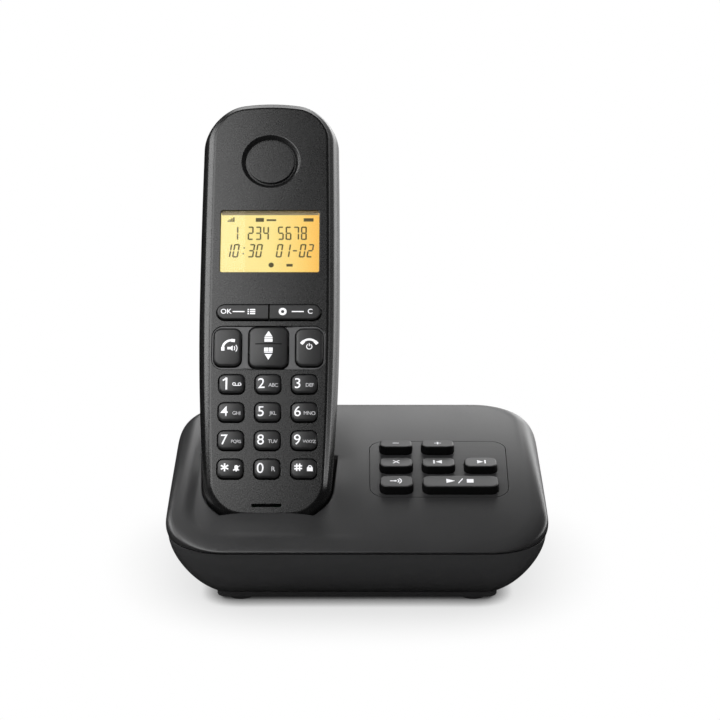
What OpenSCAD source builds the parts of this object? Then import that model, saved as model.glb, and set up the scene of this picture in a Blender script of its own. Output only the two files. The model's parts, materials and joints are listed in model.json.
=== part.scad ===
// Cordless telephone: a handset leaning in the cradle of an answering machine base.
// Millimetres, +Z up, front towards -Y. The origin lies on the table, in the middle of
// the whole footprint, which the handset's top carries out past the rear of the base.

/* [Base] */
// Overall width of the base
base_w = 131; // [126:1:145]
// Overall depth of the base
base_d = 102; // [98:1:115]
// Plan radius of the base's corners
base_corner_r = 21; // [19:1:26]
// Height of the seam between the cover and the bottom shell
seam_z = 24.5; // [23:0.5:26]
// Height of the cover at its rear edge
rear_z = 43.5; // [42.5:0.5:48]
// Height of the cover where its soft front edge begins
front_z = 27.35; // [26.6:0.05:28.6]
// Width of the soft edge that rolls from the cover's top into its sides
edge_roll = 5; // [3:0.5:7]
// Wall of the cover and of the bottom shell
base_wall = 2.4; // [2:0.1:2.8]
// How far the bottom shell draws in from the seam down
hull_inset = 15; // [12:0.5:16]
// How much further it tucks in just above the plinth
hull_tuck = 2.4; // [0:0.2:3]

/* [Feet and screws] */
// Diameter of a rubber foot
foot_d = 9; // [7:0.5:11]
// How far the feet lift the plinth off the table
foot_h = 1.3; // [0.8:0.1:2]
// Distance between the left and right feet
feet_dx = 80; // [70:1:84]
// Distance between the front and rear feet
feet_dy = 56; // [50:1:57]
// Diameter of the case screws
screw_d = 2.9; // [2.5:0.1:3.2]

/* [Cradle] */
// Lean of the handset from upright, in degrees
lean = 41; // [38:1:44]
// Distance of the handset's side from the left side of the base
cradle_edge = 9.9; // [9.4:0.1:11]
// Distance of the handset's foot from the front edge of the base
seat_back = 15.4; // [14:0.2:18]
// Height of the handset's foot, at its face, above the table
seat_z = 28.5; // [28:0.5:31]
// Gap between the handset and the sides of the pocket
pocket_gap = 0.9; // [0.6:0.1:1.2]
// Wall of the cradle cup
cup_wall = 2; // [1.6:0.1:2.4]
// Depth of the dip in the cover on both sides of the handset
scoop_d = 3.4; // [0:0.2:4]
// How far the cover swells up into a lip in front of the handset
lip_h = 0.9; // [0:0.1:1.4]

/* [Handset] */
// Width of the handset
handset_w = 49.5; // [48:0.1:50.5]
// Length of the handset
handset_l = 163; // [160:1:176]
// Thickness of the handset at its thickest
handset_t = 25; // [24.6:0.2:26]
// Depth of the parting line behind the face
part_y = 10; // [9:0.5:11]
// Wall of the handset's shells
shell_wall = 2; // [1.8:0.1:2.2]
// Width of the rim round the face, bevel and flared side together
face_bevel = 4.2; // [3:0.2:5]
// Depth of the bevel round the face
bevel_depth = 1.9; // [1.5:0.1:2.4]

/* [Handset front] */
// Width of the display window
display_w = 34.8; // [30:0.2:37]
// Height of the display window
display_h = 23.6; // [20:0.2:25]
// Height of the display's middle above the handset's foot
display_at = 106.2; // [105:0.2:108]
// Outer diameter of the earpiece recess
ear_d = 20.6; // [18:0.2:23]
// Height of the earpiece above the handset's foot
ear_at = 137.5; // [135:0.5:141]
// Width of a number key
num_key_w = 8.8; // [8:0.2:10]
// Height of a number key
num_key_h = 7; // [6.5:0.1:8]
// Distance between the columns of number keys
num_pitch_x = 12.6; // [12.4:0.1:13.4]
// Distance between the rows of number keys
num_pitch_y = 10.4; // [10.2:0.1:10.6]
// Height of the lowest row of number keys above the handset's foot
num_row_at = 20.5; // [19.5:0.5:21]
// Height of the call keys' middle above the handset's foot
call_row_at = 65.4; // [65:0.1:66]
// Height of the soft keys' middle above the handset's foot
soft_row_at = 78.7; // [78.5:0.1:80]
// How far a number key stands out of the face
key_rise = 1.2; // [0.8:0.1:1.6]
// Travel of a handset key
key_travel = 0.7; // [0.4:0.1:0.8]
// Gap between a key and its opening
key_gap = 0.3; // [0.2:0.05:0.4]

/* [Base keys] */
// Distance between the handset's side and the key panel
panel_clear = 10.6; // [10:0.1:13]
// Depth of the key panel
panel_d = 36.4; // [36:0.2:40]
// Distance of the key panel from the right side of the base
panel_edge = 13.4; // [12:0.1:14]
// Distance of the key panel from the rear of the base
panel_back = 38.2; // [37:0.2:40]
// Depth of a base key
base_key_d = 8.4; // [7:0.2:9]
// Distance between neighbouring keys in a row
base_key_space = 3.5; // [3:0.1:4]
// Distance between the rows of base keys
base_pitch_y = 12.6; // [12:0.1:12.8]
// Height of a base key's raised front edge above the panel
base_key_rise = 2.7; // [1.5:0.1:3]
// Height of a base key's rear edge above the panel
base_key_toe = 1.9; // [0.1:0.1:2.4]
// Travel of a base key
base_key_travel = 1; // [0.5:0.1:1.2]

/* [Inside] */
// Diameter of a battery cell
cell_d = 10.3; // [9.8:0.1:10.5]
// Length of a battery cell with its button
cell_l = 44.4; // [43:0.2:44.8]
// Diameter of the base's loudspeaker
speaker_d = 40; // [30:1:42]
// Thickness of the circuit boards
board_t = 1.2; // [1:0.1:1.4]
// Thickness of the rubber key mats
mat_t = 1; // [0.8:0.1:1.2]

/* [Hidden] */
number_names = ["key_star", "key_0", "key_hash", "key_7", "key_8", "key_9",
                "key_4", "key_5", "key_6", "key_1", "key_2", "key_3"];

$fn = 48;
touch = 0.05;
over = 1;
charcoal = [0.20, 0.20, 0.21];
hull_black = [0.13, 0.13, 0.14];
key_black = [0.15, 0.15, 0.16];
board_green = [0.10, 0.35, 0.22];
metal = [0.75, 0.72, 0.62];
rubber_grey = [0.24, 0.24, 0.25];

// Cover: a crowned top that falls from the rear edge to the seam
rear_slope = 1;
crown_l = base_d - 2 * edge_roll;
crown_fall = atan((rear_z - front_z) / crown_l);
crown_r = crown_l / cos(crown_fall) / (2 * sin(crown_fall - rear_slope));
crown_y = crown_l / 2 + crown_r * sin(rear_slope);
crown_z = rear_z - crown_r * cos(rear_slope);
seam_draw = 0.9;
cover_taper = 0.00018;
plinth_h = 2;
plinth_z = foot_h + plinth_h;
hull_power = 1.75;
tuck_power = 8;
foot_recess = 0.6;

// Handset's outline and back
top_corner_r = 14.5;
foot_corner_r = 14.5;
top_crown = 4.5;
foot_crown = 2.5;
waist_at = 85;
head_taper = 0.032;
foot_taper = 0.145;
taper_ease = 0.012;
thick_at = 75;
back_r = 625;
back_roll = 11;
shoulder = 0.35;
rear_rows = [for (a = [0, 14, 30, 46, 62, 76, 90])
  [shoulder + (back_roll - shoulder) * pow(1 - cos(a), 1.25), sin(a)]];

// Pocket of the cradle, in the handset's own directions
front_gap = 0.5;
floor_gap = 0.3;
rim_at = 20;
rim_back_at = 32;
pocket_back = back_depth(rim_back_at) + pocket_gap;
pocket_half = swell([handset_w / 2, rim_at], 0)[0] + pocket_gap;
cradle_x = base_w / 2 - cradle_edge - handset_w / 2;
cradle_y = seat_back - base_d / 2;
scoop_outer = 12;
scoop_inner = 9;
scoop_start = 3;
scoop_rise = seat_back + 8;
scoop_end = 15;
scoop_fade = 22;
lip_side = 9;
lip_start = 4;

// Layers behind the handset's face
face_wall = 2;
flange_t = 0.7;
flange_over = 0.7;
key_clear = 0.1;
flange_y = face_wall + key_clear;
mat_y = flange_y + flange_t + key_travel + 1.5 * key_clear;
board_y = mat_y + mat_t;
board_inset = 3.6;

// Keys of the handset
call_key_w = 9.4;
call_key_h = 14.2;
call_key_x = 14.2;
nav_w = 13.4;
nav_h = 15.2;
nav_gap = 0.45;
nav_r = 4;
nav_tab_h = 3;
nav_rise = key_rise + 0.2;
nav_tab_y = flange_y + key_clear;
soft_w = 36.2;
soft_h = 5.7;
soft_split = 0.6;
soft_rise = 1;
soft_dome = 12;
num_dome = 26;
call_dome = 60;
nav_dome = 50;
plate_w = 39.4;
plate_h = 16.2;
plate_r = 4;
plate_t = 0.9;
plate_sink = 0.25;
plate_gap = 0.1;
key_r = 3;
mic_at = 7.4;
mic_d = 4;
mic_slot_w = 10.2;
mic_slot_h = 1;
mat_margin = 5;
mat_r = 4;
post_d = 4;
posts = [[18, soft_row_at + soft_h / 2 + 5.2], [15, mic_at + 5.2], [17, ear_at - ear_d / 2 - 4]];

// Display
window_t = 1.2;
window_sink = 0.3;
window_gap = 0.2;
window_r = 1.4;
frame_w = 1.6;
frame_r = 1;
lcd_t = 1.2;
lcd_margin = 0.5;
backlight_margin = 1;

// Earpiece
ear_dish = 0.5;
ear_groove = 1;
ear_disc_d = ear_d - 3.8;
ear_floor = 1.3;
ear_holes = 10;
ear_hole_d = 0.8;
receiver_d = 17;
receiver_back_d = 12;
receiver_step = 0.8;

// Battery bay in the handset's back
bay_w = 2 * cell_d + 2.4;
spring_room = 4;
bay_l = cell_l + 2 * spring_room;
bay_at = 84;
bay_floor = 11.8;
bay_wall = 1.5;
door_w = 32;
door_l = 62;
door_r = 5;
door_t = 1.8;
door_gap = 0.3;
door_seat = 0.1;
cell_gap = 0.7;
cell_button_d = 3.8;
cell_button_h = 1;
cell_edge = 0.5;
clip_w = 8;
clip_t = 0.5;
clip_spring_d = 5;

// Ringer behind the handset's back
ringer_d = 22;
ringer_t = 4.2;
ringer_at = 138;
ringer_rim = 1.3;
ringer_fit = 0.1;
ringer_slot_l = 12;
ringer_slot_w = 1.2;
ringer_slot_pitch = 2.6;
ringer_back = back_depth(ringer_at + ringer_d / 2) - shell_wall - 0.3;

// Charging contacts and pads
pad_x = 9;
pad_y = part_y + 2.4;
pad_w = 4;
pad_d = 3.2;
pad_h = 3;
pad_bottom = 0.55;
contact_w = 4;
contact_t = 0.4;
contact_rise = pad_bottom - 0.25;
contact_foot = 5.5;
contact_root = 2.4;
contact_crest = 1;
slot_gap = 0.4;

// Key panel of the base
panel_w = base_w - cradle_edge - handset_w - panel_clear - panel_edge;
panel_x = base_w / 2 - panel_edge - panel_w / 2;
base_key_w = (panel_w - 4 * base_key_space) / 3;
base_pitch_x = base_key_w + base_key_space;
panel_y = base_d / 2 - panel_back - panel_d / 2;
panel_tilt = asin((crown_y - panel_y) / crown_r);
panel_t = 1.6;
panel_r = 5.5;
panel_gap = 0.25;
panel_ledge = 1.6;
panel_well = 12;
base_key_r = 2.6;
base_key_margin = 1.6;
base_flange_gap = 0.15;
base_flange_z = -panel_t - base_flange_gap;
base_flange_t = 0.8;
base_mat_z = base_flange_z - base_flange_t - base_key_travel - base_flange_gap;
base_mat_inset = 0.7;
base_mat_r = 2;
base_board_z = base_mat_z - mat_t;
base_board_over = 1.2;
base_board_w = panel_w + 2 * base_board_over;
base_board_front = 20;
base_board_rear = 26;
base_post_x = base_board_w / 2 - 1.5 * base_board_over;
base_posts_y = [-15, 22];
base_post_d = 3.2;
wide_key_w = base_key_w + base_pitch_x;
lowest_row_y = -panel_d / 2 + base_key_d / 2 + base_key_margin;

// Inside of the base
floor_z = foot_h + base_wall;
floor_share = (seam_z - floor_z) / (seam_z - plinth_z);
screw_l = 10;
screw_fit = 0.1;
head_d = 5.4;
head_t = 1.2;
head_slot = [3, 0.7];
head_room = 1;
head_seat = 1;
shank_room = 0.5;
head_top = floor_z - head_seat;
socket_h = 11;
socket_deep = 13;
socket_wall = 1.4;
line_mouth = [10, 7.2];
power_mouth = [7.8, 7.2];
mouth_z = floor_z + (socket_h - line_mouth[1]) / 2 + 0.4;
socket_bay_w = 30;
socket_side = 8;
bay_deep = 17;
bay_y = base_d / 2 - bay_deep;
bay_top = 15.6;
speaker_edge = 39.5;
speaker_gap = 1.6;
speaker_x = base_w / 2 - speaker_edge;
speaker_y = bay_y - base_wall - socket_deep - speaker_d / 2 - speaker_gap;
speaker_h = 12;
cone_h = 3.5;
frame_t = 2.4;
grille_slots = 7;
grille_pitch = 4;
grille_slot_w = 1.8;
grille_rim = 4;
bay_left = 14;
bay_x0 = speaker_x - bay_left;
bay_x1 = bay_x0 + socket_bay_w;
line_x = bay_x0 + socket_side;
power_x = bay_x1 - socket_side;
boss_d = 7;
boss_gap = 1;
boss_side = 23;
boss_front = 23;
boss_back = [36.5, 33, 25];
boss_bay_gap = 7.9;
front_boss_x = handset_w / 2 + pocket_gap + cup_wall - cradle_x + boss_d / 2 + boss_gap;
screw_at = [[front_boss_x, boss_front - base_d / 2], [base_w / 2 - boss_side, base_d / 2 - boss_back[0]],
            [boss_side - base_w / 2, base_d / 2 - boss_back[1]],
            [bay_x0 - boss_d / 2 - boss_bay_gap, base_d / 2 - boss_back[2]]];

// Middle of the whole footprint, from the rearmost point of the handset's back
rear_y = max([for (p = concat(rear_rings(0)[3], rear_rings(0)[4], rear_rings(0)[5])) to_base(p)[1]]);
mid_y = (rear_y - base_d / 2) / 2;

function clamp01(v) = max(0, min(1, v));
function smooth(v) = let (k = clamp01(v)) k * k * (3 - 2 * k);
function hump(v) = abs(v) >= 1 ? 0 : (1 + cos(180 * v)) / 2;
function to_base(p) = [p[0] - cradle_x,
                       cradle_y + p[1] * cos(lean) + p[2] * sin(lean),
                       seat_z - p[1] * sin(lean) + p[2] * cos(lean)];

// Outlines: a rounded rectangle whose rings all have the same count of points
function arc(c, r, a0, n) = [for (i = [0:n]) c + r * [cos(a0 + 90 * i / n), sin(a0 + 90 * i / n)]];
function between(a, b, n) = [for (i = [1:n]) a + (b - a) * i / (n + 1)];
function turned(list, k) = [for (i = [0:len(list) - 1]) list[(i + k) % len(list)]];
function outline(hx, y0, y1, r0, r1, inset, n, nx, ny) = turned(concat(
  arc([hx - r0, y0 + r0], r0 - inset, -90, n),
  between([hx - inset, y0 + r0], [hx - inset, y1 - r1], ny),
  arc([hx - r1, y1 - r1], r1 - inset, 0, n),
  between([hx - r1, y1 - inset], [r1 - hx, y1 - inset], nx),
  arc([r1 - hx, y1 - r1], r1 - inset, 90, n),
  between([inset - hx, y1 - r1], [inset - hx, y0 + r0], ny),
  arc([r0 - hx, y0 + r0], r0 - inset, 180, n),
  between([r0 - hx, y0 + inset], [hx - r0, y0 + inset], nx)), floor(n / 2));

// A closed skin over rings that have the same count of points, with flat or pointed ends
function skin_faces(k, n, tip) = concat(
  [[for (i = [0:n - 1]) i]],
  [for (j = [0:k - 2], i = [0:n - 1]) [j * n + i, (j + 1) * n + i, j * n + (i + 1) % n]],
  [for (j = [0:k - 2], i = [0:n - 1]) [j * n + (i + 1) % n, (j + 1) * n + i, (j + 1) * n + (i + 1) % n]],
  tip ? [for (i = [0:n - 1]) [(k - 1) * n + i, k * n, (k - 1) * n + (i + 1) % n]]
      : [[for (i = [n - 1:-1:0]) (k - 1) * n + i]]);
function flat_list(rings) = [for (r = rings, p = r) p];
module skin(rings, tip = []) {
  polyhedron(concat(flat_list(rings), tip), skin_faces(len(rings), len(rings[0]), len(tip) > 0),
             convexity = 6);
}

module rounded(w, h, r) {
  hull_r = min(r, w / 2 - 0.01, h / 2 - 0.01);
  square([w - 2 * hull_r, h], center = true);
  square([w, h - 2 * hull_r], center = true);
  for (sx = [-1, 1], sy = [-1, 1])
    translate([sx * (w / 2 - hull_r), sy * (h / 2 - hull_r)]) circle(hull_r);
}

// Frames: the base's own, the handset's in its cradle, and the key panel's
module in_base() {
  translate([0, -mid_y, 0]) children();
}
module in_handset() {
  in_base() translate([-cradle_x, cradle_y, seat_z]) rotate([-lean, 0, 0]) children();
}
module on_panel() {
  translate([panel_x, panel_y, cover_z(panel_y)]) rotate([panel_tilt, 0, 0]) children();
}
// A flat shape drawn in the handset's front view, pushed from depth y0 to depth y1
module through(y0, y1) {
  translate([0, y1, 0]) rotate([90, 0, 0]) linear_extrude(y1 - y0) children();
}

// Cover of the base
function cover_z(y) = crown_z + sqrt(crown_r * crown_r - (y - crown_y) * (y - crown_y));
function base_outline(inset, n, nx, ny) =
  outline(base_w / 2, -base_d / 2, base_d / 2, base_corner_r, base_corner_r, inset, n, nx, ny);
pocket_y = cradle_y + 0.5 * pocket_back / cos(lean);
function scoop(x, y) =
  let (dx = abs(x + cradle_x) - pocket_half,
       side = hump(dx > 0 ? dx / scoop_outer : dx / scoop_inner),
       front = smooth((y + base_d / 2 - scoop_start) / scoop_rise),
       rear = 1 - smooth((y - pocket_y - scoop_end) / scoop_fade))
  scoop_d * side * front * rear;
function lip(x, y) =
  let (side = 1 - smooth((abs(x + cradle_x) - pocket_half + lip_side) / (lip_side + 1)),
       front = smooth((y + base_d / 2 - lip_start) / (seat_back - lip_start)))
  lip_h * side * front;
cover_wall_rows = concat([[1.15 * seam_draw, -0.08], [0.28 * seam_draw, 0.3], [0, 0.55]],
  [for (a = [30, 55, 75, 90]) [edge_roll * pow(1 - cos(a), 1.45), 0.55 + 0.45 * sin(a)]]);
cover_top_rows = [0.93, 0.87, 0.80, 0.73, 0.66, 0.59, 0.52, 0.46, 0.40, 0.35, 0.30, 0.25];
function drawn_in(p, rise) = p * (1 - cover_taper * pow(max(0, rise), 2));
function cover_ring(inset, f, drop, n, nx, ny) =
  [for (p = base_outline(inset, n, nx, ny))
    let (rise = f * (cover_z(p[1]) - drop - seam_z), q = drawn_in(p, rise))
    [q[0], q[1], f < 1 ? seam_z + rise : cover_z(q[1]) - drop]];
function top_ring(inset, s, drop, n, nx, ny) =
  let (c = [-cradle_x, pocket_y])
  [for (q = base_outline(inset, n, nx, ny))
    let (p = c + s * (drawn_in(q, cover_z(q[1]) - seam_z) - c))
    [p[0], p[1], cover_z(p[1]) - drop + (lip(p[0], p[1]) - scoop(p[0], p[1])) * smooth((1 - s) / 0.12)]];
function at_height(ring, z) = [for (p = ring) [p[0], p[1], z]];
module cover_body() {
  rings = concat(
    [at_height(cover_ring(1.5 * seam_draw, 0, 0, 10, 13, 5), foot_h)],
    [for (r = cover_wall_rows) cover_ring(r[0], r[1], 0, 10, 13, 5)],
    [for (s = cover_top_rows) top_ring(edge_roll, s, 0, 10, 13, 5)]);
  skin(rings, [[-cradle_x, pocket_y, cover_z(pocket_y)]]);
}
module cover_hollow() {
  inner = edge_roll + base_wall;
  rings = concat(
    [at_height(cover_ring(seam_draw + base_wall, 0, 0, 6, 5, 3), 0)],
    [cover_ring(seam_draw + base_wall, -0.08, 0, 6, 5, 3)],
    [cover_ring(base_wall, 0.6, base_wall, 6, 5, 3)],
    [cover_ring(base_wall + 0.26 * edge_roll, 0.93, base_wall, 6, 5, 3)],
    [for (s = [1, 0.88, 0.74, 0.6, 0.48, 0.38, 0.3]) top_ring(inner, s, base_wall, 6, 5, 3)]);
  skin(rings, [[-cradle_x, pocket_y, cover_z(pocket_y) - base_wall - scoop_d]]);
}

// The pocket that holds the handset's foot: the handset's own outline, let out by a gap
module pocket_profile(grow) {
  translate([0, pocket_gap - floor_gap]) polygon(handset_outline(-grow));
}
module pocket() {
  through(-front_gap, pocket_back) pocket_profile(pocket_gap);
}
module cup() {
  through(-front_gap - cup_wall, pocket_back + cup_wall) pocket_profile(pocket_gap + cup_wall);
}
module cradle_place() {
  translate([-cradle_x, cradle_y, seat_z]) rotate([-lean, 0, 0]) children();
}
module panel_cut() {
  translate([0, 0, -panel_t - touch]) linear_extrude(panel_t + 4 * over)
    rounded(panel_w + 2 * panel_gap, panel_d + 2 * panel_gap, panel_r + panel_gap);
  translate([0, 0, -panel_well]) linear_extrude(panel_well + over)
    rounded(panel_w - 2 * panel_ledge, panel_d - 2 * touch, panel_r - panel_ledge);
}
module cover_posts() {
  on_panel() for (sx = [-1, 1], y = base_posts_y)
    translate([sx * base_post_x, y, base_board_z]) cylinder(d = base_post_d, h = rear_z);
  for (p = screw_at) translate([p[0], p[1], floor_z]) cylinder(d = boss_d, h = rear_z);
}
module base_top_cover() {
  color(charcoal) in_base() difference() {
    cover_body();
    difference() {
      union() {
        cover_hollow();
        translate([-base_w, -base_d, -over]) cube([2 * base_w, 2 * base_d, seam_z + over]);
      }
      cradle_place() cup();
      cover_posts();
    }
    cradle_place() {
      pocket();
      for (sx = [-1, 1]) translate([sx * pad_x, pad_y, 0])
        cube([contact_w + 2 * slot_gap, 2 * pad_d, 4 * cup_wall], center = true);
    }
    on_panel() panel_cut();
    for (p = screw_at) translate([p[0], p[1], 0])
      cylinder(d = screw_d + 2 * screw_fit, h = head_top + screw_l + over);
  }
}

// Bottom shell of the base
function hull_draw(d) =
  seam_draw + (hull_inset - seam_draw) * pow(d, hull_power) + hull_tuck * pow(d, tuck_power);
function hull_ring(d, off, n, nx, ny) =
  [for (p = base_outline(hull_draw(d) + off, n, nx, ny)) [p[0], p[1], seam_z - d * (seam_z - plinth_z)]];
module hull_body() {
  skin(concat([at_height(hull_ring(1, 0, 10, 13, 5), foot_h)],
              [for (d = [1, 0.96, 0.9, 0.8, 0.66, 0.5, 0.32, 0.14, 0]) hull_ring(d, 0, 10, 13, 5)]));
}
module hull_hollow() {
  skin(concat([hull_ring(floor_share, base_wall, 6, 5, 3)],
              [for (d = [0.9, 0.8, 0.66, 0.4, 0]) hull_ring(d, base_wall, 6, 5, 3)],
              [at_height(hull_ring(0, base_wall, 6, 5, 3), seam_z + over)]));
}
module socket_bay(grow) {
  translate([bay_x0 - grow, bay_y - grow, -over])
    cube([bay_x1 - bay_x0 + 2 * grow, base_d, bay_top + over + grow]);
}
module socket_mouth(x, mouth) {
  translate([x - mouth[0] / 2, bay_y - base_wall - over, mouth_z])
    cube([mouth[0], base_wall + 2 * over, mouth[1]]);
}
module grille() {
  for (i = [0:grille_slots - 1]) {
    dx = (i - (grille_slots - 1) / 2) * grille_pitch;
    translate([speaker_x + dx, speaker_y, -over]) linear_extrude(floor_z + 2 * over)
      rounded(grille_slot_w, 2 * sqrt(pow(speaker_d / 2 - grille_rim, 2) - dx * dx), grille_slot_w / 2);
  }
}
module base_bottom_shell() {
  color(hull_black) in_base() difference() {
    hull_body();
    difference() {
      hull_hollow();
      socket_bay(base_wall);
    }
    socket_bay(0);
    socket_mouth(line_x, line_mouth);
    socket_mouth(power_x, power_mouth);
    grille();
    for (p = screw_at) translate([p[0], p[1], -over]) {
      cylinder(d = head_d + head_room, h = head_top + over);
      cylinder(d = screw_d + shank_room, h = seam_z);
    }
    for (sx = [-1, 1], sy = [-1, 1]) translate([sx * feet_dx / 2, sy * feet_dy / 2, -over])
      cylinder(d = foot_d, h = foot_h + over + foot_recess);
  }
}
module rubber_feet() {
  color(rubber_grey) in_base() for (sx = [-1, 1], sy = [-1, 1])
    translate([sx * feet_dx / 2, sy * feet_dy / 2, 0]) cylinder(d = foot_d, h = foot_h + foot_recess);
}
module base_screws() {
  color(metal) in_base() for (p = screw_at) translate([p[0], p[1], head_top - head_t]) difference() {
    union() {
      cylinder(d = head_d, h = head_t);
      cylinder(d = screw_d, h = head_t + screw_l);
    }
    translate([0, 0, -over]) linear_extrude(over + head_slot[1]) for (a = [0, 90])
      rotate(a) square(head_slot, center = true);
  }
}
module base_circuit_board() {
  color(board_green) in_base() difference() {
    on_panel() translate([-base_board_w / 2, -base_board_front, base_board_z - board_t])
      cube([base_board_w, base_board_front + base_board_rear, board_t]);
    for (p = screw_at) translate([p[0], p[1], 0]) cylinder(d = boss_d + boss_gap, h = rear_z);
  }
}
module base_loudspeaker() {
  r = speaker_d / 2;
  color(metal) in_base() translate([speaker_x, speaker_y, floor_z]) rotate_extrude()
    polygon([[0, cone_h], [r * 0.35, cone_h * 0.7], [r * 0.8, cone_h * 0.3], [r * 0.86, 0], [r, 0],
             [r, frame_t * 0.65], [r * 0.9, frame_t], [r * 0.5, speaker_h * 0.55], [r * 0.5, speaker_h],
             [0, speaker_h]]);
}
function contact_bend(drop, floor_under) =
  let (root = contact_root - 0.75 * drop, crest = contact_crest - drop / 2)
  [[-contact_foot, floor_under - drop], [-root, floor_under - drop], [-crest, contact_rise - drop],
   [crest, contact_rise - drop], [root, floor_under - drop], [contact_foot, floor_under - drop]];
module charging_contacts() {
  floor_under = -floor_gap - cup_wall;
  color(metal) in_handset() for (sx = [-1, 1])
    translate([sx * pad_x - contact_w / 2, pad_y, 0]) rotate([90, 0, 90]) linear_extrude(contact_w)
      polygon(concat(contact_bend(0, floor_under), backwards(contact_bend(contact_t, floor_under))));
}
module socket(x, mouth) {
  wide = mouth[0] + 2 * socket_wall;
  difference() {
    translate([x - wide / 2, bay_y - base_wall - socket_deep, floor_z]) cube([wide, socket_deep, socket_h]);
    translate([x - mouth[0] / 2, bay_y - base_wall - socket_deep + socket_wall, mouth_z])
      cube([mouth[0], socket_deep, mouth[1]]);
  }
}
module line_socket() {
  color(key_black) in_base() socket(line_x, line_mouth);
}
module power_socket() {
  color(key_black) in_base() socket(power_x, power_mouth);
}

// Key panel of the base and its wedge keys
function base_key_at(col, row) = [(col - 1) * base_pitch_x, lowest_row_y + row * base_pitch_y];
wide_key_at = [(base_key_at(1, 0)[0] + base_key_at(2, 0)[0]) / 2, lowest_row_y];
base_keys = concat([for (at = [[0, 2], [1, 2], [0, 1], [1, 1], [2, 1], [0, 0]])
                     [base_key_at(at[0], at[1]), base_key_w]], [[wide_key_at, wide_key_w]]);
module crown_solid() {
  strips = 34;
  rotate([90, 0, 90]) linear_extrude(2 * base_w, center = true)
    polygon(concat([for (i = [0:strips]) let (y = base_d * (i / strips - 0.5)) [y, cover_z(y)]],
                   [[base_d / 2, 0], [-base_d / 2, 0]]));
}
module button_panel() {
  color(charcoal) in_base() intersection() {
    on_panel() difference() {
      translate([0, 0, -panel_t]) linear_extrude(panel_t + 3 * over) rounded(panel_w, panel_d, panel_r);
      for (k = base_keys) translate([k[0][0], k[0][1], -panel_t - over]) linear_extrude(panel_t + 5 * over)
        rounded(k[1] + 2 * key_gap, base_key_d + 2 * key_gap, base_key_r + key_gap);
    }
    crown_solid();
  }
}
module base_key(i) {
  at = base_keys[i][0];
  w = base_keys[i][1];
  back = base_key_d / 2;
  color(key_black) in_base() on_panel() translate([at[0], at[1], 0]) {
    intersection() {
      translate([0, 0, base_flange_z]) linear_extrude(base_key_rise - base_flange_z + over)
        rounded(w, base_key_d, base_key_r);
      translate([-w, 0, 0]) rotate([90, 0, 90]) linear_extrude(2 * w)
        polygon([[-back, base_flange_z], [back, base_flange_z], [back, base_key_toe],
                 [-back, base_key_rise]]);
    }
    translate([0, 0, base_flange_z - base_flange_t]) linear_extrude(base_flange_t)
      rounded(w + 2 * flange_over + 2 * key_gap, base_key_d + key_gap, base_key_r);
  }
}
module base_key_mat() {
  color(rubber_grey) in_base() on_panel() translate([0, 0, base_mat_z - mat_t]) linear_extrude(mat_t)
    rounded(panel_w - 2 * panel_ledge - 2 * base_mat_inset, panel_d - 2 * base_mat_inset, base_mat_r);
}

// Handset shells
function back_depth(w) = handset_t - (w - thick_at) * (w - thick_at) / (2 * back_r);
function swell(p, inset) =
  let (half = handset_w / 2, mid = handset_l / 2, q = p[0] / half,
       u = (p[1] - waist_at) / mid, e = (p[1] - mid) / mid,
       taper = u > 0 ? head_taper : foot_taper - taper_ease * max(0, min(inset, face_bevel)))
  [p[0] * (1 - taper * u * u), p[1] - sign(e) * e * e * q * q * (e > 0 ? top_crown : foot_crown)];
function backwards(list) = [for (i = [len(list) - 1:-1:0]) list[i]];
function handset_outline(inset) = backwards(
  [for (p = outline(handset_w / 2, 0, handset_l, foot_corner_r, top_corner_r, inset, 8, 3, 7))
    swell(p, inset)]);
function handset_ring(inset, y) = [for (p = handset_outline(inset)) [p[0], y, p[1]]];
function back_ring(inset, g, off) =
  [for (p = handset_outline(inset + off)) [p[0], part_y + g * (back_depth(p[1]) - off - part_y), p[1]]];
function shrunk(ring, s, off) =
  let (c = [0, handset_l / 2])
  [for (p = ring) let (x = s * p[0], w = c[1] + s * (p[2] - c[1])) [x, back_depth(w) - off, w]];
function rear_rings(off) = concat(
  [for (r = rear_rows) back_ring(r[0], r[1], off)],
  [for (s = [0.86, 0.7, 0.52, 0.32]) shrunk(back_ring(back_roll, 1, off), s, off)]);
module rear_body(off) {
  start = off == 0 ? [] : [[for (p = back_ring(shoulder, 0, off)) [p[0], part_y - over, p[2]]]];
  rings = concat(start, rear_rings(off));
  skin(rings, [[0, back_depth(handset_l / 2) - off, handset_l / 2]]);
}
module front_body() {
  skin([for (r = [[face_bevel, 0], [face_bevel * 0.48, bevel_depth], [face_bevel * 0.21, bevel_depth + 1.9],
                  [face_bevel * 0.06, bevel_depth + 4], [0, bevel_depth + 6], [shoulder, part_y]])
          handset_ring(r[0], r[1])]);
}
module front_hollow() {
  skin([for (r = [[shell_wall + 1.7, face_wall], [shell_wall + 0.9, bevel_depth + 1.9],
                  [shell_wall + 0.2, bevel_depth + 4], [shell_wall, bevel_depth + 6], [shell_wall, part_y + over]])
          handset_ring(r[0], r[1])]);
}
module key_opening(w, h, r, x, at, gap) {
  through(-over, face_wall + over) translate([x, at]) rounded(w + 2 * gap, h + 2 * gap, r + gap);
}
module call_openings() {
  for (sx = [-1, 1]) key_opening(call_key_w, call_key_h, key_r, sx * call_key_x, call_row_at, key_gap);
  key_opening(nav_w, nav_h, nav_r, 0, call_row_at, nav_gap);
}
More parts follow.
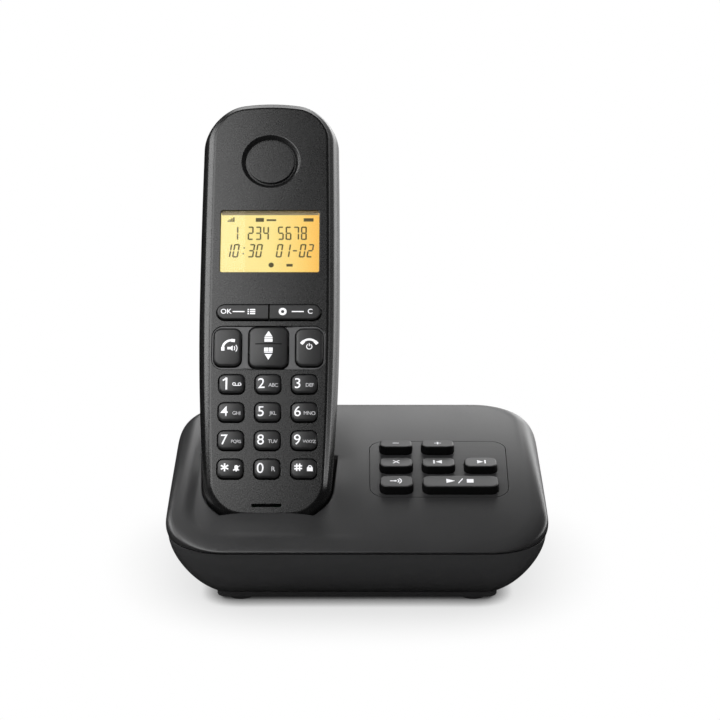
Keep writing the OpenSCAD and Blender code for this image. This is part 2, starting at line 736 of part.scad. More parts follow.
module handset_front_shell() {
  color(charcoal) in_handset() difference() {
    front_body();
    difference() {
      front_hollow();
      for (p = posts, sx = [-1, 1]) through(0, board_y) translate([sx * p[0], p[1]]) circle(d = post_d);
    }
    for (i = [0:11]) key_opening(num_key_w, num_key_h, key_r, num_key_x(i), num_key_at(i), key_gap);
    key_opening(soft_w, soft_h, soft_h / 2, 0, soft_row_at, key_gap);
    call_openings();
    through(-over, plate_sink + plate_t + touch)
      translate([0, call_row_at])
        rounded(plate_w + 2 * plate_gap, plate_h + 2 * plate_gap, plate_r + plate_gap);
    through(-over, window_sink + window_t + touch)
      translate([0, display_at])
        rounded(display_w + 2 * window_gap, display_h + 2 * window_gap, window_r + window_gap);
    through(-over, face_wall + over)
      translate([0, display_at]) rounded(display_w - 2 * frame_w, display_h - 2 * frame_w, frame_r);
    through(-over, ear_dish) translate([0, ear_at]) circle(d = ear_d);
    through(-over, ear_floor) translate([0, ear_at]) circle(d = ear_disc_d + 2 * ear_groove);
    for (i = [0:ear_holes - 1]) rotate_about_ear(360 * i / ear_holes)
      through(-over, face_wall + over) circle(d = ear_hole_d);
    through(-over, face_wall + over) translate([0, mic_at]) rounded(mic_slot_w, mic_slot_h, mic_slot_h / 2);
  }
}
module rotate_about_ear(a) {
  r = (ear_disc_d + ear_groove) / 2;
  translate([r * cos(a), 0, ear_at + r * sin(a)]) children();
}
module door_shape(grow) {
  translate([0, bay_at]) rounded(door_w + 2 * grow, door_l + 2 * grow, door_r + grow);
}
module handset_rear_shell() {
  block_grow = door_gap + bay_wall;
  color(charcoal) in_handset() difference() {
    rear_body(0);
    difference() {
      rear_body(shell_wall);
      through(bay_floor - bay_wall, handset_t + over) door_shape(block_grow);
      translate([0, 0, ringer_at]) rotate([-90, 0, 0]) difference() {
        cylinder(d = ringer_d + 2 * ringer_rim, h = handset_t + over);
        translate([0, 0, -over]) cylinder(d = ringer_d + 2 * ringer_fit, h = handset_t + 3 * over);
        translate([0, 0, -over]) cylinder(d = 2 * ringer_d, h = ringer_back - ringer_t + over);
      }
    }
    through(bay_floor, handset_t + over) translate([0, bay_at]) square([bay_w, bay_l], center = true);
    difference() {
      through(bay_floor + 2, handset_t + over) door_shape(door_gap);
      rear_body(door_t + door_seat);
    }
    for (i = [-2:2]) through(part_y + 2, handset_t + over)
      translate([0, ringer_at + i * ringer_slot_pitch])
        rounded(ringer_slot_l * (1 - abs(i) / 6), ringer_slot_w, ringer_slot_w / 2);
    for (sx = [-1, 1]) translate([sx * pad_x, pad_y, 0])
      cube([pad_w + touch, pad_d + touch, 4 * pad_h], center = true);
  }
}
module battery_door() {
  color(charcoal) in_handset() intersection() {
    difference() {
      rear_body(0);
      rear_body(door_t);
    }
    through(bay_floor + 2, handset_t + over) door_shape(0);
  }
}

// What the handset shows and holds
module display_window() {
  color([0.85, 0.65, 0.2]) in_handset() through(window_sink, window_sink + window_t)
    translate([0, display_at]) rounded(display_w, display_h, window_r);
}
module lcd_panel() {
  color([0.55, 0.5, 0.25]) in_handset() through(face_wall, face_wall + lcd_t)
    translate([0, display_at])
      square([display_w + 2 * lcd_margin, display_h + 2 * lcd_margin], center = true);
}
module backlight_plate() {
  color([0.95, 0.8, 0.4]) in_handset() through(face_wall + lcd_t, board_y)
    translate([0, display_at])
      square([display_w + 2 * backlight_margin, display_h + 2 * backlight_margin], center = true);
}
module handset_circuit_board() {
  color(board_green) in_handset() through(board_y, board_y + board_t) polygon(handset_outline(board_inset));
}
module keypad_mat() {
  low = num_row_at - mat_margin;
  high = soft_row_at + mat_margin;
  color(rubber_grey) in_handset() through(mat_y, mat_y + mat_t) translate([0, (low + high) / 2])
    rounded(handset_w - 2 * mat_margin, high - low, mat_r);
}
module call_key_plate() {
  color([0.34, 0.34, 0.35]) in_handset() difference() {
    through(plate_sink, plate_sink + plate_t) translate([0, call_row_at]) rounded(plate_w, plate_h, plate_r);
    call_openings();
  }
}
module earpiece_disc() {
  color(charcoal) in_handset() through(ear_dish - key_clear, ear_floor)
    translate([0, ear_at]) circle(d = ear_disc_d);
}
module earpiece_receiver() {
  color(metal) in_handset() {
    through(face_wall, board_y - receiver_step) translate([0, ear_at]) circle(d = receiver_d);
    through(board_y - receiver_step, board_y) translate([0, ear_at]) circle(d = receiver_back_d);
  }
}
module ringer_loudspeaker() {
  color(metal) in_handset() translate([0, ringer_back, ringer_at]) rotate([90, 0, 0]) {
    cylinder(d = ringer_d, h = ringer_t * 0.55);
    cylinder(d = ringer_d * 0.6, h = ringer_t);
  }
}
module cell(flip) {
  r = cell_d / 2;
  tip = cell_l - cell_button_h;
  rotate([flip ? 180 : 0, 0, 0]) translate([0, 0, -cell_l / 2]) rotate_extrude()
    polygon([[0, 0], [r - cell_edge, 0], [r, cell_edge], [r, tip - cell_edge], [r - cell_edge, tip],
             [cell_button_d / 2, tip], [cell_button_d / 2, cell_l], [0, cell_l]]);
}
cell_x = (cell_d + cell_gap) / 2;
cell_y = bay_floor + cell_d / 2 + touch;
module battery_cells() {
  color([0.25, 0.45, 0.3]) in_handset() for (sx = [-1, 1])
    translate([sx * cell_x, cell_y, bay_at]) cell(sx > 0);
}
module battery_contacts() {
  color(metal) in_handset() for (sx = [-1, 1], turn = [0, 180])
    translate([sx * cell_x, cell_y, bay_at]) rotate([0, turn, 0]) translate([0, 0, bay_l / 2 - clip_t]) {
      translate([-clip_w / 2, -clip_w / 2, 0]) cube([clip_w, clip_w, clip_t]);
      translate([0, 0, clip_t + key_clear - spring_room])
        cylinder(d = clip_spring_d, h = spring_room - clip_t);
    }
}
module handset_charge_pads() {
  color(metal) in_handset() for (sx = [-1, 1])
    translate([sx * pad_x - pad_w / 2, pad_y - pad_d / 2, pad_bottom]) cube([pad_w, pad_d, pad_h]);
}
module microphone() {
  color(metal) in_handset() through(face_wall + 3 * key_clear, board_y)
    translate([0, mic_at]) circle(d = mic_d);
}

// Handset keys
function num_key_x(i) = (i % 3 - 1) * num_pitch_x;
function num_key_at(i) = num_row_at + floor(i / 3) * num_pitch_y;
module face_key(w, h, r, rise, dome, foot) {
  intersection() {
    through(-rise - over, foot) rounded(w, h, r);
    translate([0, dome - rise, 0]) sphere(dome, $fn = 200);
  }
}
module number_key(i) {
  color(key_black) in_handset() translate([num_key_x(i), 0, num_key_at(i)]) {
    face_key(num_key_w, num_key_h, key_r, key_rise, num_dome, flange_y + touch);
    through(flange_y, flange_y + flange_t)
      rounded(num_key_w + 2 * key_gap + 2 * flange_over, num_key_h + 2 * key_gap + 2 * flange_over, key_r);
  }
}
module soft_half(sx) {
  half = soft_w / 2 + key_gap + flange_over;
  translate([sx > 0 ? soft_split / 2 : -half, -soft_h]) square([half - soft_split / 2, 2 * soft_h]);
}
module softkey(sx) {
  color(key_black) in_handset() translate([0, 0, soft_row_at]) {
    intersection() {
      through(-soft_rise - over, flange_y + touch) rounded(soft_w, soft_h, soft_h / 2);
      through(-soft_rise - 2 * over, flange_y + over) soft_half(sx);
      translate([0, soft_dome - soft_rise, 0]) rotate([0, 90, 0])
        cylinder(r = soft_dome, h = 2 * soft_w, center = true, $fn = 200);
    }
    through(flange_y, flange_y + flange_t) intersection() {
      rounded(soft_w + 2 * key_gap + 2 * flange_over, soft_h + 2 * key_gap + 2 * flange_over, soft_h / 2);
      soft_half(sx);
    }
  }
}
module softkey_left() {
  softkey(-1);
}
module softkey_right() {
  softkey(1);
}
module call_key(sx) {
  color(key_black) in_handset() translate([sx * call_key_x, 0, call_row_at]) {
    face_key(call_key_w, call_key_h, key_r, key_rise, call_dome, flange_y + touch);
    through(flange_y, flange_y + flange_t)
      rounded(call_key_w + 2 * key_gap + 2 * flange_over, call_key_h + 2 * key_gap + 2 * flange_over, key_r);
  }
}
module talk_key() {
  call_key(-1);
}
module end_key() {
  call_key(1);
}
module nav_key() {
  color(key_black) in_handset() translate([0, 0, call_row_at]) {
    face_key(nav_w, nav_h, nav_r, nav_rise, nav_dome, nav_tab_y + touch);
    through(nav_tab_y, flange_y + flange_t)
      square([nav_w + 2 * nav_gap + 2 * flange_over, nav_tab_h], center = true);
  }
}

base_top_cover();
base_bottom_shell();
rubber_feet();
base_screws();
base_circuit_board();
base_loudspeaker();
charging_contacts();
button_panel();
base_key_mat();
line_socket();
power_socket();
base_key(0);  // volume_down_key
base_key(1);  // volume_up_key
base_key(2);  // delete_key
base_key(3);  // skip_back_key
base_key(4);  // skip_forward_key
base_key(5);  // paging_key
base_key(6);  // play_stop_key
handset_front_shell();
handset_rear_shell();
battery_door();
display_window();
lcd_panel();
backlight_plate();
handset_circuit_board();
keypad_mat();
call_key_plate();
earpiece_disc();
earpiece_receiver();
ringer_loudspeaker();
battery_cells();
battery_contacts();
handset_charge_pads();
microphone();
softkey_left();
softkey_right();
talk_key();
end_key();
nav_key();
for (i = [0:11]) number_key(i);
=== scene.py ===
import json
import math

import bmesh
import bpy
from mathutils import Matrix, Vector
from mathutils.kdtree import KDTree


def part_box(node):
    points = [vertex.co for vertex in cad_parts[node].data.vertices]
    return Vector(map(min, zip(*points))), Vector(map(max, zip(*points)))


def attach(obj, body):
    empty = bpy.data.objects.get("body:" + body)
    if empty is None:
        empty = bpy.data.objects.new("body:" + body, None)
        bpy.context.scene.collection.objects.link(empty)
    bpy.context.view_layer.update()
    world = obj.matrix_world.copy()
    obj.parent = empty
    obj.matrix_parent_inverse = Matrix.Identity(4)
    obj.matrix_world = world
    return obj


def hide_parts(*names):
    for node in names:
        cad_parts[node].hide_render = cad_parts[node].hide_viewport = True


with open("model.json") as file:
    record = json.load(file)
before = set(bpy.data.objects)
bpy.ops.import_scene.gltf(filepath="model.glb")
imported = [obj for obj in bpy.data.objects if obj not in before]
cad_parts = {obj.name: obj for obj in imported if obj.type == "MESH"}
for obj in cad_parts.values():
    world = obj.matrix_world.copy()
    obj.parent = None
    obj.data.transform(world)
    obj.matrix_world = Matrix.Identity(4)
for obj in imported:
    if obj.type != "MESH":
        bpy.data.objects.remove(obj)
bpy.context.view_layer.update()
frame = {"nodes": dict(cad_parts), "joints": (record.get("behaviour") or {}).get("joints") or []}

# All sizes are in millimetres; the base comes first
MM = 0.001
TINY = 0.001
SEAT_FIT = 0.05
BASE_W = 131
BASE_D = 102
BASE_CORNER_R = 21
SEAM_Z = 24.5
SEAM_DRAW = 0.9
REAR_Z = 43.5
FRONT_Z = 27.35
REAR_SLOPE = math.radians(1)
EDGE_ROLL = 5
ROLL_STEPS = 17
ROLL_POWER = 1.45
WALL_SHARE = 0.55
COVER_TAPER = 0.00018
BASE_WALL = 2.4
HULL_INSET = 15
HULL_POWER = 1.75
HULL_TUCK = 2.4
TUCK_POWER = 8
FOOT_H = 1.3
FOOT_D = 9
FEET_DX = 80
FEET_DY = 56
PLINTH_Z = FOOT_H + 2
FLOOR_Z = FOOT_H + BASE_WALL
SEAM_SLIT = 0.4
SEAM_LAP = 1.4

# Cradle
CRADLE_X = 30.85
SEAT_BACK = 15.4
SEAT_Z = 28.5
POCKET_GAP = 0.6
FRONT_GAP = 0.5
FLOOR_GAP = 0.3
CUP_WALL = 2
RIM_R = 0.5
SCOOP_D = 2.2
SCOOP_OUTER = 12
SCOOP_INNER = 9
SCOOP_START = 4
SCOOP_RUN = 50
SCOOP_END = -12
SCOOP_FADE = 50
EDGE_BLEND = 0.15
HOLLOW_BLEND = 0.12
LIP_H = 0.9
LIP_SIDE = 16
LIP_START = 4

# Handset
HANDSET_W = 49.5
HANDSET_L = 163
HANDSET_T = 25
PART_Y = 10
SHELL_WALL = 2
FACE_WALL = 2
FACE_BEVEL = 4.2
BEVEL_DEPTH = 1.9
CORNER_R = 14.5
TOP_CROWN = 4.5
FOOT_CROWN = 2.5
WAIST_AT = 85
HEAD_TAPER = 0.032
FOOT_TAPER = 0.145
TAPER_EASE = 0.012
THICK_AT = 75
BACK_R = 625
BACK_ROLL = 11
SHOULDER = 0.35

# Face of the handset
DISPLAY_W = 34.8
DISPLAY_H = 23.6
DISPLAY_AT = 106.2
WINDOW_SINK = 0.3
WINDOW_T = 1.2
WINDOW_FRAME = 1.6
WINDOW_R = 0.7
WINDOW_FIT = 0.15
EAR_D = 20.6
EAR_DISC_D = 16.8
EAR_AT = 137.5
EAR_DEEP = 1.3
EAR_GROOVE = 1.2
EAR_FLARE = 1.3
NUM_KEY_W = 8.8
NUM_KEY_H = 7
NUM_PITCH_X = 12.6
NUM_PITCH_Y = 10.4
NUM_ROW_AT = 20.5
NUM_KEY_R = 2.1
CALL_KEY_R = 2.6
NAV_R = 2.4
KEY_RISE = 1.2
KEY_GAP = 0.3
FLANGE_DEEP = 2.1
FLANGE_T = 0.7
FLANGE_OVER = 0.7
CALL_KEY_W = 9.4
CALL_KEY_H = 14.2
CALL_KEY_X = 14.2
CALL_ROW_AT = 65.4
NAV_W = 13.4
NAV_H = 15.2
NAV_GAP = 0.45
NAV_PIVOT = 2.5
SOFT_W = 36.2
SOFT_H = 5.7
SOFT_SPLIT = 0.6
SOFT_RISE = 1
SOFT_ROW_AT = 78.7
PLATE_W = 39.4
PLATE_H = 16.2
PLATE_R = 4
PLATE_SINK = 0.25
PLATE_T = 0.9
PLATE_FIT = 0.1
MIC_AT = 7.4
MIC_W = 10.2

# Back of the handset
BAY_AT = 84
BAY_W = 23
BAY_L = 52.4
BAY_FLOOR = 11.8
DOOR_W = 32
DOOR_L = 62
DOOR_R = 5
DOOR_T = 1.8
DOOR_GAP = 0.3
DOOR_SEAT = 0.1
RINGER_AT = 138
RINGER_PITCH = 2.6
RINGER_SLOT_W = 12
RINGER_SLOT_STEP = 2
RINGER_SLOT_H = 1.2
PAD_X = 9
PAD_Y = 12.4
PAD_W = 4
PAD_SLOT = 3.3
PAD_FIT = 0.1
CONTACT_SLOT = 6.4
CONTACT_GAP = 0.4
FOOT_SLOT = 8

# Key panel of the base
PANEL_W = 47.6
PANEL_D = 36.4
PANEL_X = 28.3
PANEL_Y = -5.4
PANEL_R = 5.5
PANEL_T = 1.6
PANEL_GAP = 0.25
PANEL_LEDGE = 1.6
BASE_KEY_W = 11.2
BASE_KEY_D = 8.4
BASE_KEY_R = 2.6
BASE_KEY_RISE = 2.7
BASE_KEY_TOE = 1.9
BASE_PITCH_X = 14.7
BASE_PITCH_Y = 12.6
BASE_FLANGE_T = 0.8
BOARD_POSTS = [(sx * 23.2, y) for sx in (-1, 1) for y in (-15, 22)]
BOARD_Z = -4.7
POST_D = 3.2
POST_L = 20

# Underside of the base
SCREWS_AT = [(0.6, -28), (42.5, 14.5), (-42.5, 18), (0.6, 26)]
BOSS_D = 7
SCREW_HOLE_D = 3.1
SCREW_HEAD_D = 5.4
SPEAKER_X = 26
SPEAKER_Y = -3
SPEAKER_D = 40
SLOTS = 7
SLOT_PITCH = 4
SLOT_W = 1.8
BAY_X0 = 12
BAY_X1 = 42
BAY_Y = 34
BAY_TOP = 15.6
MOUTH_Z = 6
LINE_X = 20
LINE_MOUTH = (10, 7.2)
POWER_X = 34
POWER_MOUTH = (7.8, 7.2)


def joint(name):
    return next(j for j in frame["joints"] if j["name"] == name)


# Frames: the base's own, the handset's front view with z out of its face, and the key panel's
LEAN = math.atan2(*joint("handset_lift")["axis"][1:])
panel_in = joint("play_stop_key_press")["axis"]
PANEL_TILT = math.atan2(panel_in[1], -panel_in[2])
hull_low, hull_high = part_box("base_bottom_shell")
BASE_MID_Y = (hull_low.y + hull_high.y) / 2
IN_BASE = Matrix.Translation((0, BASE_MID_Y, 0)) @ Matrix.Scale(MM, 4)
CRADLE_Y = SEAT_BACK - BASE_D / 2
CRADLE = Matrix.Translation((-CRADLE_X, CRADLE_Y, SEAT_Z)) @ Matrix.Rotation(-LEAN, 4, "X")
FACE_VIEW = CRADLE @ Matrix.Rotation(math.pi / 2, 4, "X")
ON_FACE = IN_BASE @ FACE_VIEW
CROWN_L = BASE_D - 2 * EDGE_ROLL
CROWN_FALL = math.atan((REAR_Z - FRONT_Z) / CROWN_L)
CROWN_R = CROWN_L / math.cos(CROWN_FALL) / (2 * math.sin(CROWN_FALL - REAR_SLOPE))
CROWN_Y = BASE_D / 2 - EDGE_ROLL + CROWN_R * math.sin(REAR_SLOPE)
CROWN_Z = REAR_Z - CROWN_R * math.cos(REAR_SLOPE)


def cover_z(y):
    return CROWN_Z + math.sqrt(CROWN_R**2 - (y - CROWN_Y) ** 2)


PANEL_VIEW = Matrix.Translation((PANEL_X, PANEL_Y, cover_z(PANEL_Y))) @ Matrix.Rotation(PANEL_TILT, 4, "X")
ON_PANEL = IN_BASE @ PANEL_VIEW


# Mesh tools
def smooth(v):
    k = min(1, max(0, v))
    return k * k * (3 - 2 * k)


def hump(v):
    return 0 if abs(v) >= 1 else (1 + math.cos(math.pi * v)) / 2


def arc(cx, cy, r, start, n):
    steps = [start + math.pi / 2 * i / n for i in range(n + 1)]
    return [Vector((cx + r * math.cos(a), cy + r * math.sin(a))) for a in steps]


def between(a, b, n):
    return [a.lerp(b, i / (n + 1)) for i in range(1, n + 1)]


def rounded_outline(half, low, high, low_r, high_r, inset, corner_n, across_n, along_n):
    """A rounded rectangle, counterclockwise from its low right corner, with the same points at any inset."""
    quarter = math.pi / 2
    corners = [
        arc(half - low_r, low + low_r, low_r - inset, -quarter, corner_n),
        arc(half - high_r, high - high_r, high_r - inset, 0, corner_n),
        arc(high_r - half, high - high_r, high_r - inset, quarter, corner_n),
        arc(low_r - half, low + low_r, low_r - inset, 2 * quarter, corner_n),
    ]
    ring = []
    for i, points in enumerate(corners):
        following = corners[(i + 1) % 4]
        count = along_n if i % 2 == 0 else across_n
        ring += points + between(points[-1], following[0], count)
    return ring


def at_height(ring, z):
    return [(p[0], p[1], z) for p in ring]


def loft(rings):
    """A closed skin: one loop of edges is pulled through the rings in turn and capped at both ends."""
    bm = bmesh.new()
    place = bm.verts.layers.int.new("place")
    loop = bmesh.ops.create_circle(bm, segments=len(rings[0]), radius=1)["verts"]
    for i, v in enumerate(loop):
        v[place] = i
        v.co = rings[0][i]
    edges = list(bm.edges)
    bmesh.ops.contextual_create(bm, geom=edges)
    for ring in rings[1:]:
        made = bmesh.ops.extrude_edge_only(bm, edges=edges)["geom"]
        edges = [g for g in made if isinstance(g, bmesh.types.BMEdge)]
        for v in made:
            if isinstance(v, bmesh.types.BMVert):
                v.co = ring[v[place]]
    bmesh.ops.contextual_create(bm, geom=edges)
    bm.verts.layers.int.remove(place)
    bmesh.ops.recalc_face_normals(bm, faces=bm.faces)
    return bm


def prism(width, height, radius, low, high, x=0, y=0, segments=8):
    """A rounded rectangle in the front view, drawn out from low to high."""
    bm = bmesh.new()
    bmesh.ops.create_grid(bm, x_segments=1, y_segments=1, size=0.5)
    bmesh.ops.scale(bm, vec=(width, height, 1), verts=bm.verts)
    if radius:
        bmesh.ops.bevel(bm, geom=bm.verts[:], offset=radius, offset_type="OFFSET", segments=segments,
                        profile=0.5, affect="VERTICES", clamp_overlap=True, material=-1)
    bmesh.ops.translate(bm, vec=(x, y, low), verts=bm.verts)
    made = bmesh.ops.extrude_face_region(bm, geom=bm.faces[:])["geom"]
    top = [g for g in made if isinstance(g, bmesh.types.BMVert)]
    bmesh.ops.translate(bm, vec=(0, 0, high - low), verts=top)
    bmesh.ops.recalc_face_normals(bm, faces=bm.faces)
    return bm


def rod(diameter, low, high, x=0, y=0, segments=32, top_diameter=None):
    bm = bmesh.new()
    top = diameter if top_diameter is None else top_diameter
    bmesh.ops.create_cone(bm, cap_ends=True, segments=segments, radius1=diameter / 2, radius2=top / 2,
                          depth=high - low)
    bmesh.ops.translate(bm, vec=(x, y, (low + high) / 2), verts=bm.verts)
    return bm


def box(low, high):
    bm = bmesh.new()
    low, high = Vector(low), Vector(high)
    bmesh.ops.create_cube(bm, size=1)
    bmesh.ops.scale(bm, vec=high - low, verts=bm.verts)
    bmesh.ops.translate(bm, vec=(low + high) / 2, verts=bm.verts)
    return bm


def placed(bm, matrix):
    bmesh.ops.transform(bm, matrix=matrix, verts=bm.verts)
    return bm


def gathered(*shapes):
    """Several shapes as one mesh."""
    whole = bmesh.new()
    for bm in shapes:
        mesh = bpy.data.meshes.new("gathered")
        bm.to_mesh(mesh)
        bm.free()
        whole.from_mesh(mesh)
        bpy.data.meshes.remove(mesh)
    return whole


def scratch_object(bm):
    mesh = bpy.data.meshes.new("scratch")
    bm.to_mesh(mesh)
    bm.free()
    made = bpy.data.objects.new("scratch", mesh)
    bpy.context.scene.collection.objects.link(made)
    return made


def combine(bm, tool, operation):
    solid, other = scratch_object(bm), scratch_object(tool)
    modifier = solid.modifiers.new("combine", "BOOLEAN")
    modifier.operation = operation
    modifier.solver = "EXACT"
    modifier.object = other
    made = bmesh.new()
    made.from_object(solid, bpy.context.evaluated_depsgraph_get())
    for used in (solid, other):
        mesh = used.data
        bpy.data.objects.remove(used)
        bpy.data.meshes.remove(mesh)
    return made


def cut(bm, *tools):
    return combine(bm, gathered(*tools), "DIFFERENCE")


def common(bm, tool):
    return combine(bm, tool, "INTERSECT")


def round_edges(bm, edges, radius, segments=2):
    bmesh.ops.bevel(bm, geom=edges, offset=radius, offset_type="OFFSET", segments=segments, profile=0.5,
                    affect="EDGES", clamp_overlap=False, material=-1)


def sharp_edges(bm, degrees, choose=lambda e: True):
    limit = math.radians(degrees)
    return [e for e in bm.edges if e.calc_face_angle(0) > limit and choose(e)]


def edges_above(bm, z):
    """Sharp edges round the top of a piece, at a height or above it."""
    return sharp_edges(bm, 40, lambda e: all(v.co.z > z - TINY for v in e.verts))


def lies_level(f):
    return abs(f.normal.z) > 0.9999


def shade(bm, degrees=35, flat=lambda f: False):
    """Smooth shading, with a crease where faces meet at more than so many degrees; some faces stay flat."""
    limit = math.radians(degrees)
    for f in bm.faces:
        f.smooth = not flat(f)
    for e in bm.edges:
        e.smooth = e.calc_face_angle(0) < limit


def piece(bm, name, body, finish, place=None, replaces=(), second_finish=None):
    """A named object from a mesh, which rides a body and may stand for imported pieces."""
    if place:
        placed(bm, place)
    mesh = bpy.data.meshes.new(name)
    bm.to_mesh(mesh)
    bm.free()
    mesh.materials.append(finish)
    if second_finish:
        mesh.materials.append(second_finish)
    made = bpy.data.objects.new(name, mesh)
    bpy.context.scene.collection.objects.link(made)
    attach(made, body)
    if replaces:
        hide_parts(*replaces)
    return made


WIDE_FACE = 8


def softened(node, name, body, finish, radius, segments=3, degrees=40):
    """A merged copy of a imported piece, with its sharp edges rounded."""
    bm = bmesh.new()
    bm.from_mesh(frame["nodes"][node].data)
    bmesh.ops.remove_doubles(bm, verts=bm.verts, dist=1e-6)
    bmesh.ops.dissolve_limit(bm, angle_limit=math.radians(0.04), verts=bm.verts, edges=bm.edges)
    if radius:
        round_edges(bm, sharp_edges(bm, degrees), radius * MM, segments)
    shade(bm, 30, lambda f: f.calc_area() > WIDE_FACE * MM * MM)
    return piece(bm, name, body, finish, replaces=(node,))


# Shader nodes
def feed(tree, socket, value):
    """Gives an input another node's output, or a plain value."""
    if isinstance(value, bpy.types.NodeSocket):
        tree.links.new(value, socket)
    else:
        socket.default_value = value


def add(tree, kind, result, inputs, **settings):
    """Makes a node, sets it, feeds its inputs and gives one of its outputs."""
    node = tree.nodes.new("ShaderNode" + kind)
    for name, value in settings.items():
        setattr(node, name, value)
    for name, value in inputs.items():
        feed(tree, node.inputs[name], value)
    return node.outputs[result]


def maths(tree, operation, *values):
    return add(tree, "Math", 0, dict(enumerate(values)), operation=operation)


def ramp(tree, value, low, high, start=0, end=1, ease="LINEAR"):
    """Maps what runs from low to high onto start to end."""
    span = {"Value": value, "From Min": low, "From Max": high, "To Min": start, "To Max": end}
    return add(tree, "MapRange", "Result", span, interpolation_type=ease)


def axis_of(tree, vector, axis):
    return add(tree, "SeparateXYZ", axis, {"Vector": vector})


def object_place(tree):
    return add(tree, "TexCoord", "Object", {})


# Finishes
def grain_group():
    """Fine spark texture of a moulded case: its height and how its tone wanders."""
    group = bpy.data.node_groups.new("spark_texture", "ShaderNodeTree")
    for name, way in (("Grain", "INPUT"), ("Patch", "INPUT"), ("Height", "OUTPUT"), ("Tone", "OUTPUT")):
        group.interface.new_socket(name, in_out=way, socket_type="NodeSocketFloat")
    source = group.nodes.new("NodeGroupInput").outputs
    target = group.nodes.new("NodeGroupOutput").inputs
    place = object_place(group)
    sparks = {"Vector": place, "Scale": source["Grain"], "Detail": 3, "Roughness": 0.65}
    fine = add(group, "TexNoise", "Fac", sparks)
    broad = add(group, "TexNoise", "Fac", {"Vector": place, "Scale": source["Patch"], "Detail": 2})
    feed(group, target["Height"], fine)
    patches = maths(group, "MULTIPLY", broad, 0.25)
    feed(group, target["Tone"], maths(group, "MULTIPLY_ADD", fine, 0.75, patches))
    return group


SPARK = grain_group()


def finish(name, dark, light, roughness, grain=2600, patch=60, bump=0.02, metallic=0, specular=0.5,
           wander=0.05):
    """A surface whose colour and gloss wander with the spark texture, which is bump millimetres high."""
    material = bpy.data.materials.new(name)
    material.use_nodes = True
    tree = material.node_tree
    tone = add(tree, "Group", "Tone", {"Grain": grain, "Patch": patch}, node_tree=SPARK)
    relief = {"Strength": 1, "Distance": bump * MM, "Height": tone.node.outputs["Height"]}
    colours = {"Factor": tone, "A": (*dark, 1), "B": (*light, 1)}
    look = {
        "Base Color": add(tree, "Mix", "Result", colours, data_type="RGBA"),
        "Roughness": ramp(tree, tone, 0.3, 0.7, roughness - wander, roughness + wander),
        "Normal": add(tree, "Bump", "Normal", relief),
        "Metallic": metallic,
        "Specular IOR Level": specular,
    }
    shader = tree.nodes["Principled BSDF"]
    for socket, value in look.items():
        feed(tree, shader.inputs[socket], value)
    return material


def grey(v):
    return (v, v, v * 1.03)


COVER_PLASTIC = finish("charcoal_case", grey(0.012), grey(0.026), 0.36, specular=0.6)
HULL_PLASTIC = finish("black_hull", grey(0.022), grey(0.03), 0.5, specular=0.25)
CASE_PLASTIC = finish("charcoal_handset", grey(0.002), grey(0.008), 0.28, specular=0.6)
KEY_PLASTIC = finish("handset_key", grey(0.008), grey(0.02), 0.36, bump=0.008)
# Painted shade: a darker, nearly unreflecting copy of the handset's finish for the flare round its top
CASE_EDGE_PAINTED_SHADE = finish("handset_edge_painted_shade", grey(0.002), grey(0.006), 0.5, specular=0.1)
# Painted shade: a darker, duller copy of the key finish for the keys' steep walls
KEY_WALL_PAINTED_SHADE = finish("key_wall_painted_shade", grey(0.002), grey(0.005), 0.5, bump=0.008, specular=0.15)
BASE_KEY_PLASTIC = finish("base_key", grey(0.014), grey(0.028), 0.42, specular=0.5)
# The key plate's lighter grey is painted sheen: it stands for the light that the plate's surface catches
PLATE_PAINTED_SHEEN = finish("plate_painted_sheen", grey(0.05), grey(0.08), 0.38, bump=0.008)
PRINT = finish("white_print", grey(0.72), grey(0.84), 0.55, grain=5000, bump=0.004)
FAINT_PRINT = finish("grey_print", grey(0.42), grey(0.5), 0.55, grain=5000, bump=0.004)
SEGMENT_INK = finish("segment_ink", (0.06, 0.05, 0.008), (0.09, 0.07, 0.014), 0.6, grain=3000, bump=0.002)
# Painted shadow: a dull brown for a strip along the display's top, standing for the shade that the window
# frame's upper edge throws
PAINTED_SHADOW_INK = finish("painted_window_shadow", (0.26, 0.21, 0.12), (0.32, 0.26, 0.15), 0.6, grain=3000, bump=0.002)
RUBBER = finish("black_rubber", grey(0.012), grey(0.03), 0.75, grain=1500, bump=0.03)
MAT_RUBBER = finish("silicone_mat", grey(0.09), grey(0.14), 0.6, grain=1500, bump=0.02)
SOCKET_PLASTIC = finish("socket_black", grey(0.008), grey(0.016), 0.35, grain=900, bump=0.008)
STEEL = finish("zinc_screw", grey(0.42), grey(0.6), 0.35, grain=1800, bump=0.01, metallic=1)
CONTACT_METAL = finish("plated_contact", (0.62, 0.5, 0.26), (0.75, 0.62, 0.36), 0.28, grain=1200, bump=0.004,
                       metallic=1)
BOARD = finish("solder_resist", (0.01, 0.07, 0.03), (0.02, 0.12, 0.05), 0.35, grain=500, bump=0.01)
SPEAKER_METAL = finish("speaker_basket", grey(0.10), grey(0.18), 0.45, grain=900, bump=0.01, metallic=1)
CELL_FILM = finish("cell_film", (0.03, 0.12, 0.06), (0.05, 0.17, 0.09), 0.3, grain=300, bump=0.004)
GUIDE = finish("light_guide", (0.75, 0.6, 0.3), (0.85, 0.7, 0.4), 0.4, grain=600, bump=0.004)


def window_finish():
    material = finish("clear_window", (0.95, 0.94, 0.91), (0.98, 0.97, 0.95), 0.01, grain=300, bump=0.0002,
                      wander=0.005)
    shader = material.node_tree.nodes["Principled BSDF"]
    shader.inputs["Transmission Weight"].default_value = 1
    shader.inputs["IOR"].default_value = 1.2
    return material


# Tones of the lit display, from its left end to its right
DISPLAY_TONES = (
    (0.02, (1, 0.86, 0.34)),
    (0.5, (1, 0.82, 0.29)),
    (0.8, (1, 0.68, 0.17)),
    (0.98, (1, 0.55, 0.09)),
)
DISPLAY_GLOW = 0.92


